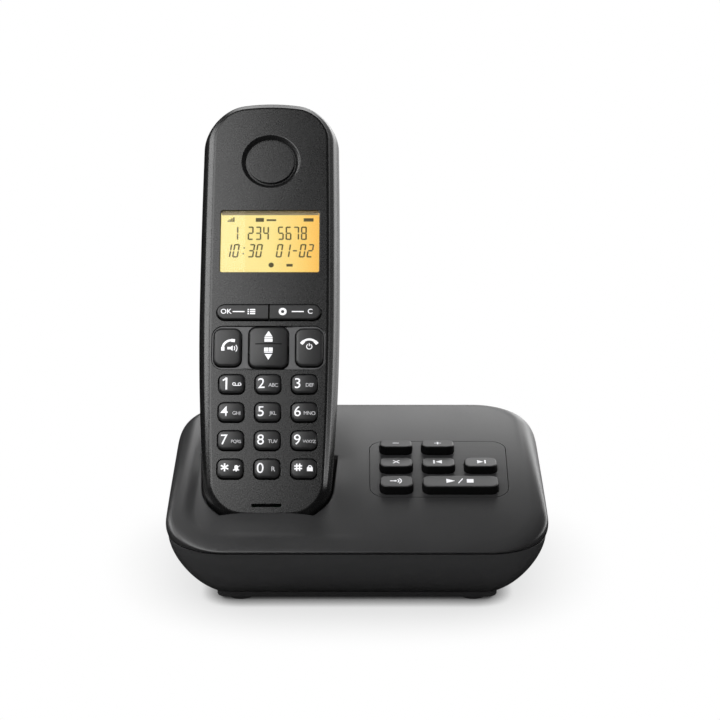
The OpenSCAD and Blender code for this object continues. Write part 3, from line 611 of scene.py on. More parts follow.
def display_finish():
    """A lit panel: pale yellow at the left and amber at the right."""
    material = finish("lit_display", (0.05, 0.035, 0.008), (0.07, 0.05, 0.012), 0.6, grain=900, bump=0.001)
    tree = material.node_tree
    across = {"Vector": object_place(tree), "Location": (CRADLE_X / DISPLAY_W + 0.5, 0, 0),
              "Scale": (1 / (DISPLAY_W * MM), 1, 1)}
    place = add(tree, "Mapping", "Vector", across)
    glow = add(tree, "ValToRGB", "Color", {"Fac": axis_of(tree, place, "X")})
    stops = glow.node.color_ramp.elements
    for at, tone in DISPLAY_TONES:
        stops.new(at).color = (*tone, 1)
    stops.remove(stops[0])
    stops.remove(stops[-1])
    shader = tree.nodes["Principled BSDF"]
    feed(tree, shader.inputs["Emission Color"], glow)
    shader.inputs["Emission Strength"].default_value = DISPLAY_GLOW
    return material


WINDOW = window_finish()
DISPLAY = display_finish()


# Outline of the handset, in its front view: x across, y up the handset, z out of its face
def swell(p, inset):
    mid = HANDSET_L / 2
    u = (p.y - WAIST_AT) / mid
    e = (p.y - mid) / mid
    q = p.x / (HANDSET_W / 2)
    crown = TOP_CROWN if e > 0 else -FOOT_CROWN
    taper = HEAD_TAPER if u > 0 else FOOT_TAPER - TAPER_EASE * max(0, min(inset, FACE_BEVEL))
    return Vector((p.x * (1 - taper * u * u), p.y - crown * e * e * q * q))


def handset_outline(inset):
    ring = rounded_outline(HANDSET_W / 2, 0, HANDSET_L, CORNER_R, CORNER_R, inset, 18, 14, 34)
    return [swell(p, inset) for p in ring]


def back_depth(w):
    return HANDSET_T - (w - THICK_AT) ** 2 / (2 * BACK_R)


# Cradle pocket: the handset's outline let out by a gap, sunk into the cover along the handset's lean
POCKET_HALF = swell(Vector((HANDSET_W / 2, 20)), 0).x + POCKET_GAP
POCKET_BACK = back_depth(32) + POCKET_GAP
POCKET_Y = CRADLE_Y + 0.5 * POCKET_BACK / math.cos(LEAN)
POCKET_MID = Vector((-CRADLE_X, POCKET_Y))
TO_CRADLE = CRADLE.inverted()
WALL_TOP = 70
WALL_STEP = 0.25


def pocket_outline(grow):
    lift = POCKET_GAP - FLOOR_GAP
    return [Vector((p.x, p.y + lift)) for p in handset_outline(-POCKET_GAP - grow)]


def pocket_solid(grow):
    ring = pocket_outline(grow)
    depths = (-POCKET_BACK - grow, FRONT_GAP + grow)
    return placed(loft([[(p.x, p.y, z) for p in ring] for z in depths]), FACE_VIEW)


def pocket_wall():
    """Points along the pocket's wall round the handset's foot, each with the way out of the pocket."""
    ring = pocket_outline(0)
    points = []
    for a, b in zip(ring, ring[1:] + ring[:1]):
        along = b - a
        if min(a.y, b.y) < WALL_TOP and along.length > TINY:
            out = Vector((along.y, -along.x)).normalized()
            count = math.ceil(along.length / WALL_STEP)
            points += [(a + along * (i / count), out) for i in range(count)]
    return points


POCKET_WALL = pocket_wall()
WALL_TREE = KDTree(len(POCKET_WALL))
for i, (point, _) in enumerate(POCKET_WALL):
    WALL_TREE.insert((point.x, point.y, 0), i)
WALL_TREE.balance()


# Cover of the base
def base_outline(inset):
    r = BASE_CORNER_R
    return rounded_outline(BASE_W / 2, -BASE_D / 2, BASE_D / 2, r, r, inset, 20, 44, 30)


def drawn_in(p, rise):
    return p * (1 - COVER_TAPER * max(0, rise) ** 2)


def side_ring(inset, share):
    ring = []
    for p in base_outline(inset):
        rise = share * (cover_z(p.y) - SEAM_Z)
        q = drawn_in(p, rise)
        ring.append((q.x, q.y, SEAM_Z + rise))
    return ring


def scoop(x, y):
    """Depth of the dip on both sides of the handset's foot."""
    out = abs(x + CRADLE_X) - POCKET_HALF
    side = hump(out / (SCOOP_OUTER if out > 0 else SCOOP_INNER))
    front = min(max((y + BASE_D / 2 - SCOOP_START) / SCOOP_RUN, 0), 1)
    rear = 1 - smooth((y - SCOOP_END) / SCOOP_FADE)
    return SCOOP_D * side * front * rear


def lip(x, y):
    """Height of the swelling in front of the handset's foot."""
    side = 1 - smooth((abs(x + CRADLE_X) - POCKET_HALF + LIP_SIDE) / (LIP_SIDE + 1))
    return LIP_H * side * smooth((y + BASE_D / 2 - LIP_START) / (SEAT_BACK - LIP_START))


def outside_pocket(x, y, z):
    """How far a point lies outside the pocket, negative inside it."""
    p = TO_CRADLE @ Vector((x, y, z))
    near, index, _ = WALL_TREE.find((p.x, p.z, 0))
    side = (Vector((p.x, p.z)) - near.xy).dot(POCKET_WALL[index][1])
    deep = max(-FRONT_GAP - p.y, p.y - POCKET_BACK)
    if side > 0 and deep > 0:
        return math.hypot(side, deep)
    return max(side, deep)


def cover_height(p, share):
    """Height of the cover's top at a point that lies so far out from the pocket towards the edge."""
    return cover_z(p.y) + (lip(p.x, p.y) - scoop(p.x, p.y)) * smooth((1 - share) / EDGE_BLEND)


def cover_top(p, share):
    """The same height, with the pocket's rim rounded over."""
    z = cover_height(p, share)
    lap = RIM_R - outside_pocket(p.x, p.y, z)
    if lap > 0:
        z -= RIM_R - math.sqrt(RIM_R**2 - min(lap, RIM_R) ** 2)
    return z


def rim_reach(toward, reach):
    """Distance from the pocket's middle to its rim along one direction."""
    near, far = 0, reach
    for _ in range(24):
        middle = (near + far) / 2
        p = POCKET_MID + toward * middle
        if outside_pocket(p.x, p.y, cover_height(p, middle / reach)) < 0:
            near = middle
        else:
            far = middle
    return near


def cover_rings():
    rings = [at_height(side_ring(SEAM_DRAW, 0), FOOT_H), side_ring(0.9 * SEAM_DRAW, 0)]
    steps = (0.05, 0.15, 0.3, 0.55, 0.8, 1)
    rings += [side_ring(0.85 * SEAM_DRAW * (1 - t) ** 2, WALL_SHARE * t) for t in steps]
    for i in range(1, ROLL_STEPS):
        a = math.pi / 2 * i / ROLL_STEPS
        share = WALL_SHARE + (1 - WALL_SHARE) * math.sin(a)
        rings.append(side_ring(EDGE_ROLL * (1 - math.cos(a)) ** ROLL_POWER, share))
    edge = [drawn_in(q, cover_z(q.y) - SEAM_Z) for q in base_outline(EDGE_ROLL)]
    rays = []
    for p in edge:
        reach = (p - POCKET_MID).length
        toward = (p - POCKET_MID) / reach
        rays.append((toward, reach, rim_reach(toward, reach)))
    far_steps = [1 - i / 40 for i in range(41)]
    near_steps = [0.75, 0.55, 0.4, 0.28, 0.18, 0.09, 0.03, -0.1, -1.5]

    def margin(reach, rim):
        return min(2, 0.6 * (reach - rim))

    def ring(distance):
        made = []
        for toward, reach, rim in rays:
            d = distance(reach, rim)
            p = POCKET_MID + toward * d
            made.append((p.x, p.y, cover_top(p, d / reach)))
        return made

    for t in far_steps:
        rings.append(ring(lambda reach, rim: (1 - t) * (rim + margin(reach, rim)) + t * reach))
    for step in near_steps:
        rings.append(ring(lambda reach, rim: rim + step * margin(reach, rim)))
    return rings


def cover_hollow():
    edge = [drawn_in(q, cover_z(q.y) - SEAM_Z) for q in base_outline(EDGE_ROLL + BASE_WALL)]
    rings = [[(q.x, q.y, SEAM_Z - 1) for q in edge]]
    for share in (1, 0.88, 0.74, 0.6, 0.48, 0.38, 0.3, 0.15):
        ring = []
        for q in edge:
            p = POCKET_MID.lerp(q, share)
            dip = scoop(p.x, p.y) * smooth((1 - share) / HOLLOW_BLEND)
            ring.append((p.x, p.y, cover_z(p.y) - BASE_WALL - dip))
        rings.append(ring)
    return loft(rings)


def contact_slot(side):
    half = CONTACT_SLOT / 2
    bm = prism(PAD_W + 2 * CONTACT_GAP, FOOT_SLOT, 0, -PAD_Y - half, -PAD_Y + half, x=side * PAD_X)
    return placed(bm, FACE_VIEW)


def panel_opening():
    wide, deep = PANEL_W + 2 * PANEL_GAP, PANEL_D + 2 * PANEL_GAP
    seat = prism(wide, deep, PANEL_R + PANEL_GAP, -PANEL_T - SEAT_FIT, 4)
    well = prism(PANEL_W - 2 * PANEL_LEDGE, PANEL_D - 0.1, PANEL_R - PANEL_LEDGE, -12, -PANEL_T)
    return [placed(seat, PANEL_VIEW), placed(well, PANEL_VIEW)]


def cover_posts():
    """Screw bosses, and the posts that hold the circuit board."""
    bosses = [rod(BOSS_D, FLOOR_Z, REAR_Z + 4, x, y) for x, y in SCREWS_AT]
    return bosses + [placed(rod(POST_D, BOARD_Z, POST_L, x, y), PANEL_VIEW) for x, y in BOARD_POSTS]


def make_cover():
    bm = loft(cover_rings())
    low = box((-BASE_W, -BASE_D, -1), (BASE_W, BASE_D, SEAM_Z))
    room = combine(cover_hollow(), low, "UNION")
    for kept in (pocket_solid(CUP_WALL), *cover_posts()):
        room = cut(room, kept)
    bm = cut(bm, room)
    bm = cut(bm, pocket_solid(0))
    bm = cut(bm, contact_slot(-1), contact_slot(1))
    for tool in panel_opening():
        bm = cut(bm, tool)
    bm = cut(bm, *[rod(SCREW_HOLE_D, 0, FLOOR_Z + 10, x, y) for x, y in SCREWS_AT])
    shade(bm, 32)
    piece(bm, "cover", "base", COVER_PLASTIC, IN_BASE, ("base_top_cover",))


# Bottom shell of the base
def hull_ring(d, grow=0):
    inset = SEAM_DRAW + (HULL_INSET - SEAM_DRAW) * d**HULL_POWER + HULL_TUCK * d**TUCK_POWER + grow
    return [(p.x, p.y, SEAM_Z - d * (SEAM_Z - PLINTH_Z)) for p in base_outline(inset)]


def hull_hollow():
    rings = [hull_ring((SEAM_Z - FLOOR_Z) / (SEAM_Z - PLINTH_Z), BASE_WALL)]
    rings += [hull_ring(d, BASE_WALL) for d in (0.9, 0.8, 0.66, 0.4, 0)]
    rings.append(at_height(hull_ring(0, BASE_WALL), SEAM_Z + 2))
    return loft(rings)


def socket_bay(grow):
    return box((BAY_X0 - grow, BAY_Y - grow, -2), (BAY_X1 + grow, BASE_D, BAY_TOP + grow))


def socket_mouth(x, mouth):
    wide, high = mouth
    return box((x - wide / 2, BAY_Y - BASE_WALL - 1, MOUTH_Z), (x + wide / 2, BAY_Y + 1, MOUTH_Z + high))


def grille_slots():
    slots = []
    for i in range(SLOTS):
        dx = (i - (SLOTS - 1) / 2) * SLOT_PITCH
        length = 2 * math.sqrt((SPEAKER_D / 2 - 4) ** 2 - dx**2)
        slots.append(prism(SLOT_W, length, 0.45 * SLOT_W, -1, FLOOR_Z + 1, SPEAKER_X + dx, SPEAKER_Y, 4))
    return slots


def make_hull():
    slit = SEAM_SLIT / (SEAM_Z - PLINTH_Z)
    depths = [1, 0.985, 0.97, 0.95, 0.93] + [0.9 - i * 0.05 for i in range(17)] + [0.06, 0.035, slit + 0.006]
    rings = [at_height(hull_ring(1, 0.4), FOOT_H), at_height(hull_ring(1, 0.1), FOOT_H + 0.1),
             at_height(hull_ring(1), FOOT_H + 0.4)]
    rings += [hull_ring(d) for d in depths]
    rings += [hull_ring(slit, 0.12), hull_ring(slit, SEAM_LAP), hull_ring(0, SEAM_LAP)]
    bm = loft(rings)
    room = cut(hull_hollow(), socket_bay(BASE_WALL))
    bm = cut(bm, room)
    bm = cut(bm, socket_bay(0))
    holes = [socket_mouth(LINE_X, LINE_MOUTH), socket_mouth(POWER_X, POWER_MOUTH)] + grille_slots()
    holes += [rod(SCREW_HEAD_D + 1, -1, FLOOR_Z - 1, x, y) for x, y in SCREWS_AT]
    feet = [(sx * FEET_DX / 2, sy * FEET_DY / 2) for sx in (-1, 1) for sy in (-1, 1)]
    holes += [rod(FOOT_D, -1, FOOT_H + 0.6, x, y) for x, y in feet]
    bm = cut(bm, *holes)
    shade(bm, 32)
    piece(bm, "hull", "base", HULL_PLASTIC, IN_BASE, ("base_bottom_shell",))


# Handset shells
def handset_ring(inset, depth):
    return [(p.x, p.y, -depth) for p in handset_outline(inset)]


def front_rows():
    """Insets and depths from the face over its bevel and down the flared side to the parting line."""
    slope = 0.52 * FACE_BEVEL / BEVEL_DEPTH
    rows = [(FACE_BEVEL + 0.5, 0), (FACE_BEVEL + 0.12, 0.03), (FACE_BEVEL - 0.25, 0.16)]
    rows += [(FACE_BEVEL - slope * d, d) for d in (0.4, 0.8, 1.2, 1.6)]
    rows += [(2.1, 1.83), (1.98, 1.98), (1.85, 2.15), (1.6, 2.55), (1.26, 3.15), (0.9, 3.8), (0.6, 4.55)]
    rows += [(0.36, 5.4), (0.17, 6.3), (0.05, 7.1), (0, 7.9), (0.05, 8.7), (0.16, 9.4)]
    return rows + [(SHOULDER, 9.85), (SHOULDER + 0.15, PART_Y)]


def number_key_places():
    return [((i % 3 - 1) * NUM_PITCH_X, NUM_ROW_AT + i // 3 * NUM_PITCH_Y) for i in range(12)]


def face_opening(w, h, r, x, y, gap=KEY_GAP):
    return prism(w + 2 * gap, h + 2 * gap, r + gap, -FACE_WALL - 1, 1, x, y)


def call_row_openings():
    made = [face_opening(CALL_KEY_W, CALL_KEY_H, CALL_KEY_R, s * CALL_KEY_X, CALL_ROW_AT) for s in (-1, 1)]
    return made + [face_opening(NAV_W, NAV_H, NAV_R, 0, CALL_ROW_AT, NAV_GAP)]


def front_openings():
    made = [face_opening(NUM_KEY_W, NUM_KEY_H, NUM_KEY_R, x, y) for x, y in number_key_places()]
    made.append(face_opening(SOFT_W, SOFT_H, 0.49 * SOFT_H, 0, SOFT_ROW_AT))
    made += call_row_openings()
    made.append(face_opening(MIC_W, 1, 0.45, 0, MIC_AT, 0))
    made.append(face_opening(DISPLAY_W - 2 * WINDOW_FRAME, DISPLAY_H - 2 * WINDOW_FRAME, 1, 0, DISPLAY_AT, 0))
    return made


def front_recesses():
    plate_floor = -PLATE_SINK - PLATE_T - SEAT_FIT
    window_floor = -WINDOW_SINK - WINDOW_T - SEAT_FIT
    wide, high = PLATE_W + 2 * PLATE_FIT, PLATE_H + 2 * PLATE_FIT
    plate = prism(wide, high, PLATE_R + PLATE_FIT, plate_floor, 1, 0, CALL_ROW_AT)
    wide, high = DISPLAY_W + 2 * WINDOW_FIT, DISPLAY_H + 2 * WINDOW_FIT
    window = prism(wide, high, WINDOW_R + WINDOW_FIT, window_floor, 1, 0, DISPLAY_AT)
    cone = rod(EAR_DISC_D + EAR_GROOVE, -EAR_DEEP, 0.5, 0, EAR_AT, 96, EAR_D + EAR_FLARE)
    return [plate, window, cone]


def painted_shade_on_head(f):
    """Whether a face lies on the flare below the bevel, round the top of the handset, where a darker, duller
    copy of the case finish paints shade.
    """
    at = f.calc_center_median()
    upward = f.normal.y > (0.3 if at.x < 0 else 0.85)
    return upward and at.y > EAR_AT and at.z < -BEVEL_DEPTH - SEAT_FIT and f.normal.z > -0.1


def make_front_shell():
    bm = loft([handset_ring(inset, depth) for inset, depth in front_rows()])
    hollow = [(SHELL_WALL + 1.7, FACE_WALL), (SHELL_WALL + 0.9, BEVEL_DEPTH + 1.9),
              (SHELL_WALL + 0.2, BEVEL_DEPTH + 4), (SHELL_WALL, BEVEL_DEPTH + 6), (SHELL_WALL, PART_Y + 1)]
    bm = cut(bm, loft([handset_ring(inset, depth) for inset, depth in hollow]))
    bm = cut(bm, *front_recesses())
    bm = cut(bm, *front_openings())
    bmesh.ops.remove_doubles(bm, verts=bm.verts, dist=0.002)
    round_edges(bm, sharp_edges(bm, 40, lambda e: all(abs(v.co.z) < TINY for v in e.verts)), 0.15)
    shade(bm, 35, lies_level)
    # The flare round the head takes the darker copy of the finish: painted shade in place of its reflections
    for f in bm.faces:
        f.material_index = int(painted_shade_on_head(f))
    piece(bm, "front_shell", "handset", CASE_PLASTIC, ON_FACE, ("handset_front_shell",),
          CASE_EDGE_PAINTED_SHADE)


def make_call_plate():
    bm = prism(PLATE_W, PLATE_H, PLATE_R, -PLATE_SINK - PLATE_T, -PLATE_SINK, 0, CALL_ROW_AT, 12)
    bm = cut(bm, *call_row_openings())
    round_edges(bm, edges_above(bm, -PLATE_SINK), 0.12)
    shade(bm, 30, lies_level)
    piece(bm, "key_plate", "handset", PLATE_PAINTED_SHEEN, ON_FACE, ("call_key_plate",))


def make_window():
    bm = prism(DISPLAY_W, DISPLAY_H, WINDOW_R, -WINDOW_SINK - WINDOW_T, -WINDOW_SINK, 0, DISPLAY_AT, 4)
    round_edges(bm, edges_above(bm, -WINDOW_SINK), 0.1)
    shade(bm, 30, lies_level)
    piece(bm, "window", "handset", WINDOW, ON_FACE, ("display_window",))


def back_ring(inset, share, off):
    ring = handset_outline(inset + off)
    return [(p.x, p.y, -PART_Y - share * (back_depth(p.y) - off - PART_Y)) for p in ring]


def rear_solid(off, bury=0):
    """The handset's back, or the same skin a wall's thickness further in."""
    start = back_ring(SHOULDER + 0.15, 0, off)
    rings = [[(x, y, z + bury) for x, y, z in start], back_ring(SHOULDER, 0.015, off)]
    steps = 22
    for i in range(1, steps + 1):
        a = math.pi / 2 * i / steps
        inset = SHOULDER + (BACK_ROLL - SHOULDER) * (1 - math.cos(a)) ** 1.25
        rings.append(back_ring(inset, math.sin(a), off))
    last = handset_outline(BACK_ROLL + off)
    middle = Vector((0, HANDSET_L / 2))
    for share in (0.9, 0.78, 0.64, 0.5, 0.36, 0.22, 0.1):
        ring = [middle.lerp(p, share) for p in last]
        rings.append([(p.x, p.y, off - back_depth(p.y)) for p in ring])
    return loft(rings)


def door_prism(grow, shallow):
    return prism(DOOR_W + 2 * grow, DOOR_L + 2 * grow, DOOR_R + grow, -HANDSET_T - 2, -shallow, 0, BAY_AT, 12)


def ringer_slots():
    slots = []
    for i in range(-2, 3):
        wide = RINGER_SLOT_W - abs(i) * RINGER_SLOT_STEP
        y = RINGER_AT + i * RINGER_PITCH
        slots.append(prism(wide, RINGER_SLOT_H, 0.5, -HANDSET_T - 1, -PART_Y - 2, 0, y, 4))
    return slots


def make_rear_shell():
    room = cut(rear_solid(SHELL_WALL, bury=1), door_prism(DOOR_GAP + 1.5, BAY_FLOOR - 1.5))
    bm = cut(rear_solid(0), room)
    step = cut(door_prism(DOOR_GAP, BAY_FLOOR + 2), rear_solid(DOOR_T + DOOR_SEAT))
    bm = cut(bm, step)
    bay = prism(BAY_W, BAY_L, 0.8, -HANDSET_T - 1, -BAY_FLOOR, 0, BAY_AT, 4)
    low, high = -PAD_Y - PAD_SLOT / 2, -PAD_Y + PAD_SLOT / 2
    pads = [prism(PAD_W + PAD_FIT, FOOT_SLOT, 0, low, high, s * PAD_X, 2) for s in (-1, 1)]
    bm = cut(bm, bay, *pads, *ringer_slots())
    shade(bm, 35)
    piece(bm, "rear_shell", "handset", CASE_PLASTIC, ON_FACE, ("handset_rear_shell",))


def make_battery_door():
    bm = common(cut(rear_solid(0), rear_solid(DOOR_T, bury=1)), door_prism(0, BAY_FLOOR + 2))
    shade(bm, 35)
    piece(bm, "battery_lid", "battery_door", CASE_PLASTIC, ON_FACE, ("battery_door",))


# Keys
def cap(w, h, r, top, rows, foot_rows, x, y):
    """A key: foot rows of an inset and a height, then rows of an inset and a drop below the key's top."""
    def ring(inset, height):
        points = rounded_outline(w / 2, -h / 2, h / 2, r, r, min(inset, r - 0.05), 8, 5, 4)
        return [(p.x + x, p.y + y, height(p.x, p.y)) for p in points]

    def shrunk(share):
        points = rounded_outline(w / 2, -h / 2, h / 2, r, r, min(rows[-1][0], r - 0.05), 8, 5, 4)
        return [(p.x * share + x, p.y * share + y, top(p.x * share, p.y * share)) for p in points]

    rings = [ring(inset, lambda px, py: z) for inset, z in foot_rows]
    rings += [ring(inset, lambda px, py: top(px, py) - drop) for inset, drop in rows]
    rings += [shrunk(share) for share in (0.85, 0.65, 0.4, 0.15)]
    return finished_key(loft(rings))


def finished_key(bm):
    """Gives a key's steep walls a darker, duller copy of its finish as painted shade, and shades it."""
    bm.normal_update()
    for f in bm.faces:
        f.material_index = 0 if f.normal.z > 0.4 else 1
    shade(bm, 50)
    return bm


def cushion(radius):
    """Rows of a soft edge, from the wall up to the top."""
    angles = [math.radians(a) for a in (0, 14, 28, 42, 56, 70, 82)]
    return [(radius * (1 - math.cos(a)), radius * (1 - math.sin(a))) for a in angles] + [(radius * 1.05, 0)]


CUSHION = cushion(0.8)
FACE_FOOT = [(-FLANGE_OVER - KEY_GAP, -FLANGE_DEEP - FLANGE_T), (-FLANGE_OVER - KEY_GAP, -FLANGE_DEEP),
             (0, -FLANGE_DEEP), (0, -0.2)]


def dome(rise, radius):
    return lambda x, y: rise - (x * x + y * y) / (2 * radius)


def ridge(rise, radius):
    return lambda x, y: rise - y * y / (2 * radius)


NUMBER_NAMES = ["key_star", "key_0", "key_hash", "key_7", "key_8", "key_9",
                "key_4", "key_5", "key_6", "key_1", "key_2", "key_3"]
NUMBER_TOP = dome(KEY_RISE, 26)
CALL_TOP = dome(KEY_RISE, 60)
NAV_TOP = dome(KEY_RISE + 0.2, 50)
SOFT_TOP = ridge(SOFT_RISE, 25)


def make_number_keys():
    for name, (x, y) in zip(NUMBER_NAMES, number_key_places()):
        bm = cap(NUM_KEY_W, NUM_KEY_H, NUM_KEY_R, NUMBER_TOP, CUSHION, FACE_FOOT, x, y)
        piece(bm, name + "_cap", name, KEY_PLASTIC, ON_FACE, (name,), KEY_WALL_PAINTED_SHADE)


def make_call_keys():
    for name, side in (("talk_key", -1), ("end_key", 1)):
        x = side * CALL_KEY_X
        bm = cap(CALL_KEY_W, CALL_KEY_H, CALL_KEY_R, CALL_TOP, CUSHION, FACE_FOOT, x, CALL_ROW_AT)
        piece(bm, name + "_cap", name, KEY_PLASTIC, ON_FACE, (name,), KEY_WALL_PAINTED_SHADE)


def make_nav_key():
    foot = [(0, -NAV_PIVOT), (0, -0.2)]
    bm = cap(NAV_W, NAV_H, NAV_R, NAV_TOP, cushion(0.7), foot, 0, CALL_ROW_AT)
    tab_w = NAV_W + 2 * NAV_GAP + 2 * FLANGE_OVER
    tab = prism(tab_w, 3, 0, -FLANGE_DEEP - FLANGE_T, -FLANGE_DEEP - 0.1, 0, CALL_ROW_AT)
    bm = finished_key(combine(bm, tab, "UNION"))
    piece(bm, "nav_key_cap", "nav_key", KEY_PLASTIC, ON_FACE, ("nav_key",), KEY_WALL_PAINTED_SHADE)


def make_soft_keys():
    for name, side in (("softkey_left", -1), ("softkey_right", 1)):
        bm = cap(SOFT_W, SOFT_H, 0.49 * SOFT_H, SOFT_TOP, cushion(0.5), FACE_FOOT, 0, SOFT_ROW_AT)
        near, far = sorted((side * SOFT_SPLIT / 2, side * SOFT_W))
        bm = finished_key(common(bm, box((near, SOFT_ROW_AT - 9, -5), (far, SOFT_ROW_AT + 9, 5))))
        piece(bm, name + "_cap", name, KEY_PLASTIC, ON_FACE, (name,), KEY_WALL_PAINTED_SHADE)


LOWEST_ROW_Y = -PANEL_D / 2 + BASE_KEY_D / 2 + 1.6


def base_key_place(column, row):
    return ((column - 1) * BASE_PITCH_X, LOWEST_ROW_Y + row * BASE_PITCH_Y)


def wedge(row):
    """The top of a base key; the keys of the rear rows lean back more."""
    front, rear = BASE_KEY_RISE + 0.3 * row, BASE_KEY_TOE - 0.5 * row
    return lambda x, y: rear + (front - rear) * (0.5 - y / BASE_KEY_D)


BASE_KEYS = {
    "volume_down_key": (0, 2, BASE_KEY_W),
    "volume_up_key": (1, 2, BASE_KEY_W),
    "delete_key": (0, 1, BASE_KEY_W),
    "skip_back_key": (1, 1, BASE_KEY_W),
    "skip_forward_key": (2, 1, BASE_KEY_W),
    "paging_key": (0, 0, BASE_KEY_W),
    "play_stop_key": (1.5, 0, BASE_KEY_W + BASE_PITCH_X),
}


def make_base_keys():
    foot_z = -PANEL_T - 0.15
    grow = -FLANGE_OVER - KEY_GAP
    foot = [(grow, foot_z - BASE_FLANGE_T), (grow, foot_z), (0, foot_z), (0, -0.6)]
    rows = cushion(0.5)
    for name, (column, row, w) in BASE_KEYS.items():
        bm = cap(w, BASE_KEY_D, BASE_KEY_R, wedge(row), rows, foot, *base_key_place(column, row))
        piece(bm, name + "_cap", name, BASE_KEY_PLASTIC, ON_PANEL, (name,), KEY_WALL_PAINTED_SHADE)


# Print on the keys and on the display: thin closed shapes that lie on what carries them
INK_T = 0.05
INK_GRID = 0.6


def finely_split(bm):
    """Cuts a flat drawing along a grid, so that it can follow a domed key."""
    spread = [max(abs(v.co[axis]) for v in bm.verts) for axis in (0, 1)]
    for axis, reach in enumerate(spread):
        way = Vector((1, 0, 0)) if axis == 0 else Vector((0, 1, 0))
        steps = math.ceil(reach / INK_GRID)
        for i in range(-steps, steps + 1):
            bmesh.ops.bisect_plane(bm, geom=bm.verts[:] + bm.edges[:] + bm.faces[:], dist=1e-5,
                                   plane_co=way * (i * INK_GRID + 0.013), plane_no=way)


def laid(bm, surface, x, y):
    """Thickens a flat drawing and lays it on a surface, centred at x and y."""
    bmesh.ops.remove_doubles(bm, verts=bm.verts, dist=0.0005)
    finely_split(bm)
    bmesh.ops.recalc_face_normals(bm, faces=bm.faces)
    for f in bm.faces:
        if f.normal.z < 0:
            f.normal_flip()
    made = bmesh.ops.extrude_face_region(bm, geom=bm.faces[:])["geom"]
    upper = {g for g in made if isinstance(g, bmesh.types.BMVert)}
    for v in bm.verts:
        lift = 0.5 * INK_T if v in upper else -0.5 * INK_T
        v.co.z = surface(v.co.x, v.co.y) + lift
    bmesh.ops.recalc_face_normals(bm, faces=bm.faces)
    bmesh.ops.translate(bm, vec=(x, y, 0), verts=bm.verts)
    return bm


def lettering(text, size, x=0, y=0, spacing=1.0, weight=0.0):
    """A flat drawing of some characters, centred at x and y."""
    curve = bpy.data.curves.new("lettering", "FONT")
    curve.body = text
    curve.size = size
    curve.align_x = "CENTER"
    curve.align_y = "CENTER"
    curve.space_character = spacing
    curve.offset = weight
    curve.resolution_u = 4
    made = bpy.data.objects.new("lettering", curve)
    bpy.context.scene.collection.objects.link(made)
    mesh = bpy.data.meshes.new_from_object(made.evaluated_get(bpy.context.evaluated_depsgraph_get()))
    bm = bmesh.new()
    bm.from_mesh(mesh)
    bpy.data.objects.remove(made)
    bpy.data.curves.remove(curve)
    bpy.data.meshes.remove(mesh)
    bmesh.ops.translate(bm, vec=(x, y, 0), verts=bm.verts)
    return bm


def turned(bm, degrees, x, y):
    bmesh.ops.rotate(bm, matrix=Matrix.Rotation(math.radians(degrees), 3, "Z"), verts=bm.verts)
    bmesh.ops.translate(bm, vec=(x, y, 0), verts=bm.verts)
    return bm


def bar(w, h, x=0, y=0, turn=0):
    bm = bmesh.new()
    bmesh.ops.create_grid(bm, x_segments=1, y_segments=1, size=0.5)
    bmesh.ops.scale(bm, vec=(w, h, 1), verts=bm.verts)
    return turned(bm, turn, x, y)


def triangle(w, h, x=0, y=0, turn=0):
    bm = bmesh.new()
    bmesh.ops.create_circle(bm, cap_ends=True, segments=3, radius=1)
    top = max(v.co.y for v in bm.verts)
    low = min(v.co.y for v in bm.verts)
    wide = max(v.co.x for v in bm.verts) - min(v.co.x for v in bm.verts)
    bmesh.ops.translate(bm, vec=(0, -(top + low) / 2, 0), verts=bm.verts)
    bmesh.ops.scale(bm, vec=(w / wide, h / (top - low), 1), verts=bm.verts)
    return turned(bm, turn, x, y)


def disc(d, x=0, y=0, segments=20):
    bm = bmesh.new()
    bmesh.ops.create_circle(bm, cap_ends=True, segments=segments, radius=d / 2)
    return turned(bm, 0, x, y)


def bow(r, thick, start, end, x=0, y=0, segments=14):
    """A stretch of ring, from one angle to another."""
    bm = bmesh.new()
    first = [bm.verts.new((r + s * thick / 2, 0, 0)) for s in (-1, 1)]
    edge = bm.edges.new(first)
    bmesh.ops.rotate(bm, matrix=Matrix.Rotation(math.radians(start), 3, "Z"), verts=first)
    bmesh.ops.spin(bm, geom=[edge, *first], cent=(0, 0, 0), axis=(0, 0, 1), angle=math.radians(end - start),
                   steps=segments, use_merge=end - start >= 360)
    return turned(bm, 0, x, y)


def stamp(name, body, slot, ink, place, surface, x, y, *drawings):
    """Lays drawings on a surface, each by itself so that none cuts into another."""
    bm = gathered(*[laid(d, surface, 0, 0) for d in drawings])
    bmesh.ops.translate(bm, vec=(x, y, 0), verts=bm.verts)
    return piece(bm, name, body, ink, place)


def receiver(x, y, turn, r=3.1):
    """A telephone receiver: a bow with two thick ends."""
    shapes = [bow(r, 0.8, 42, 138, 0, -r)]
    for a in (42, 138):
        px, py = r * math.cos(math.radians(a)), r * math.sin(math.radians(a)) - r
        shapes.append(bar(1.35, 1.15, px * 1.02, py - 0.15, a - 90))
    return turned(gathered(*shapes), turn, x, y)


LETTERS = {"key_2": "ABC", "key_3": "DEF", "key_4": "GHI", "key_5": "JKL", "key_6": "MNO", "key_7": "PQRS",
           "key_8": "TUV", "key_9": "WXYZ"}


def side_sign(name):
    """What stands beside the digit on a number key."""
    if name == "key_1":
        return [bow(0.5, 0.26, 0, 360, x, -0.3) for x in (0.85, 2.75)] + [bar(1.9, 0.26, 1.8, -0.8)]
    if name == "key_0":
        return [lettering("R", 2.4, 2.1, -0.4)]
    if name == "key_star":
        return [disc(1.3, 2.1, 0.45), bar(1.3, 1.1, 2.1, 0), bar(2.1, 0.4, 2.1, -0.65), disc(0.5, 2.1, -1.0),
                bar(2.9, 0.25, 2.2, 0, 40)]
    if name == "key_hash":
        return [bar(2.0, 1.4, 2.1, -0.4), bow(0.6, 0.32, 0, 180, 2.1, 0.3)]
    return [lettering(LETTERS[name], 1.85 if len(LETTERS[name]) < 4 else 1.6, 1.85, -0.7, 0.88)]


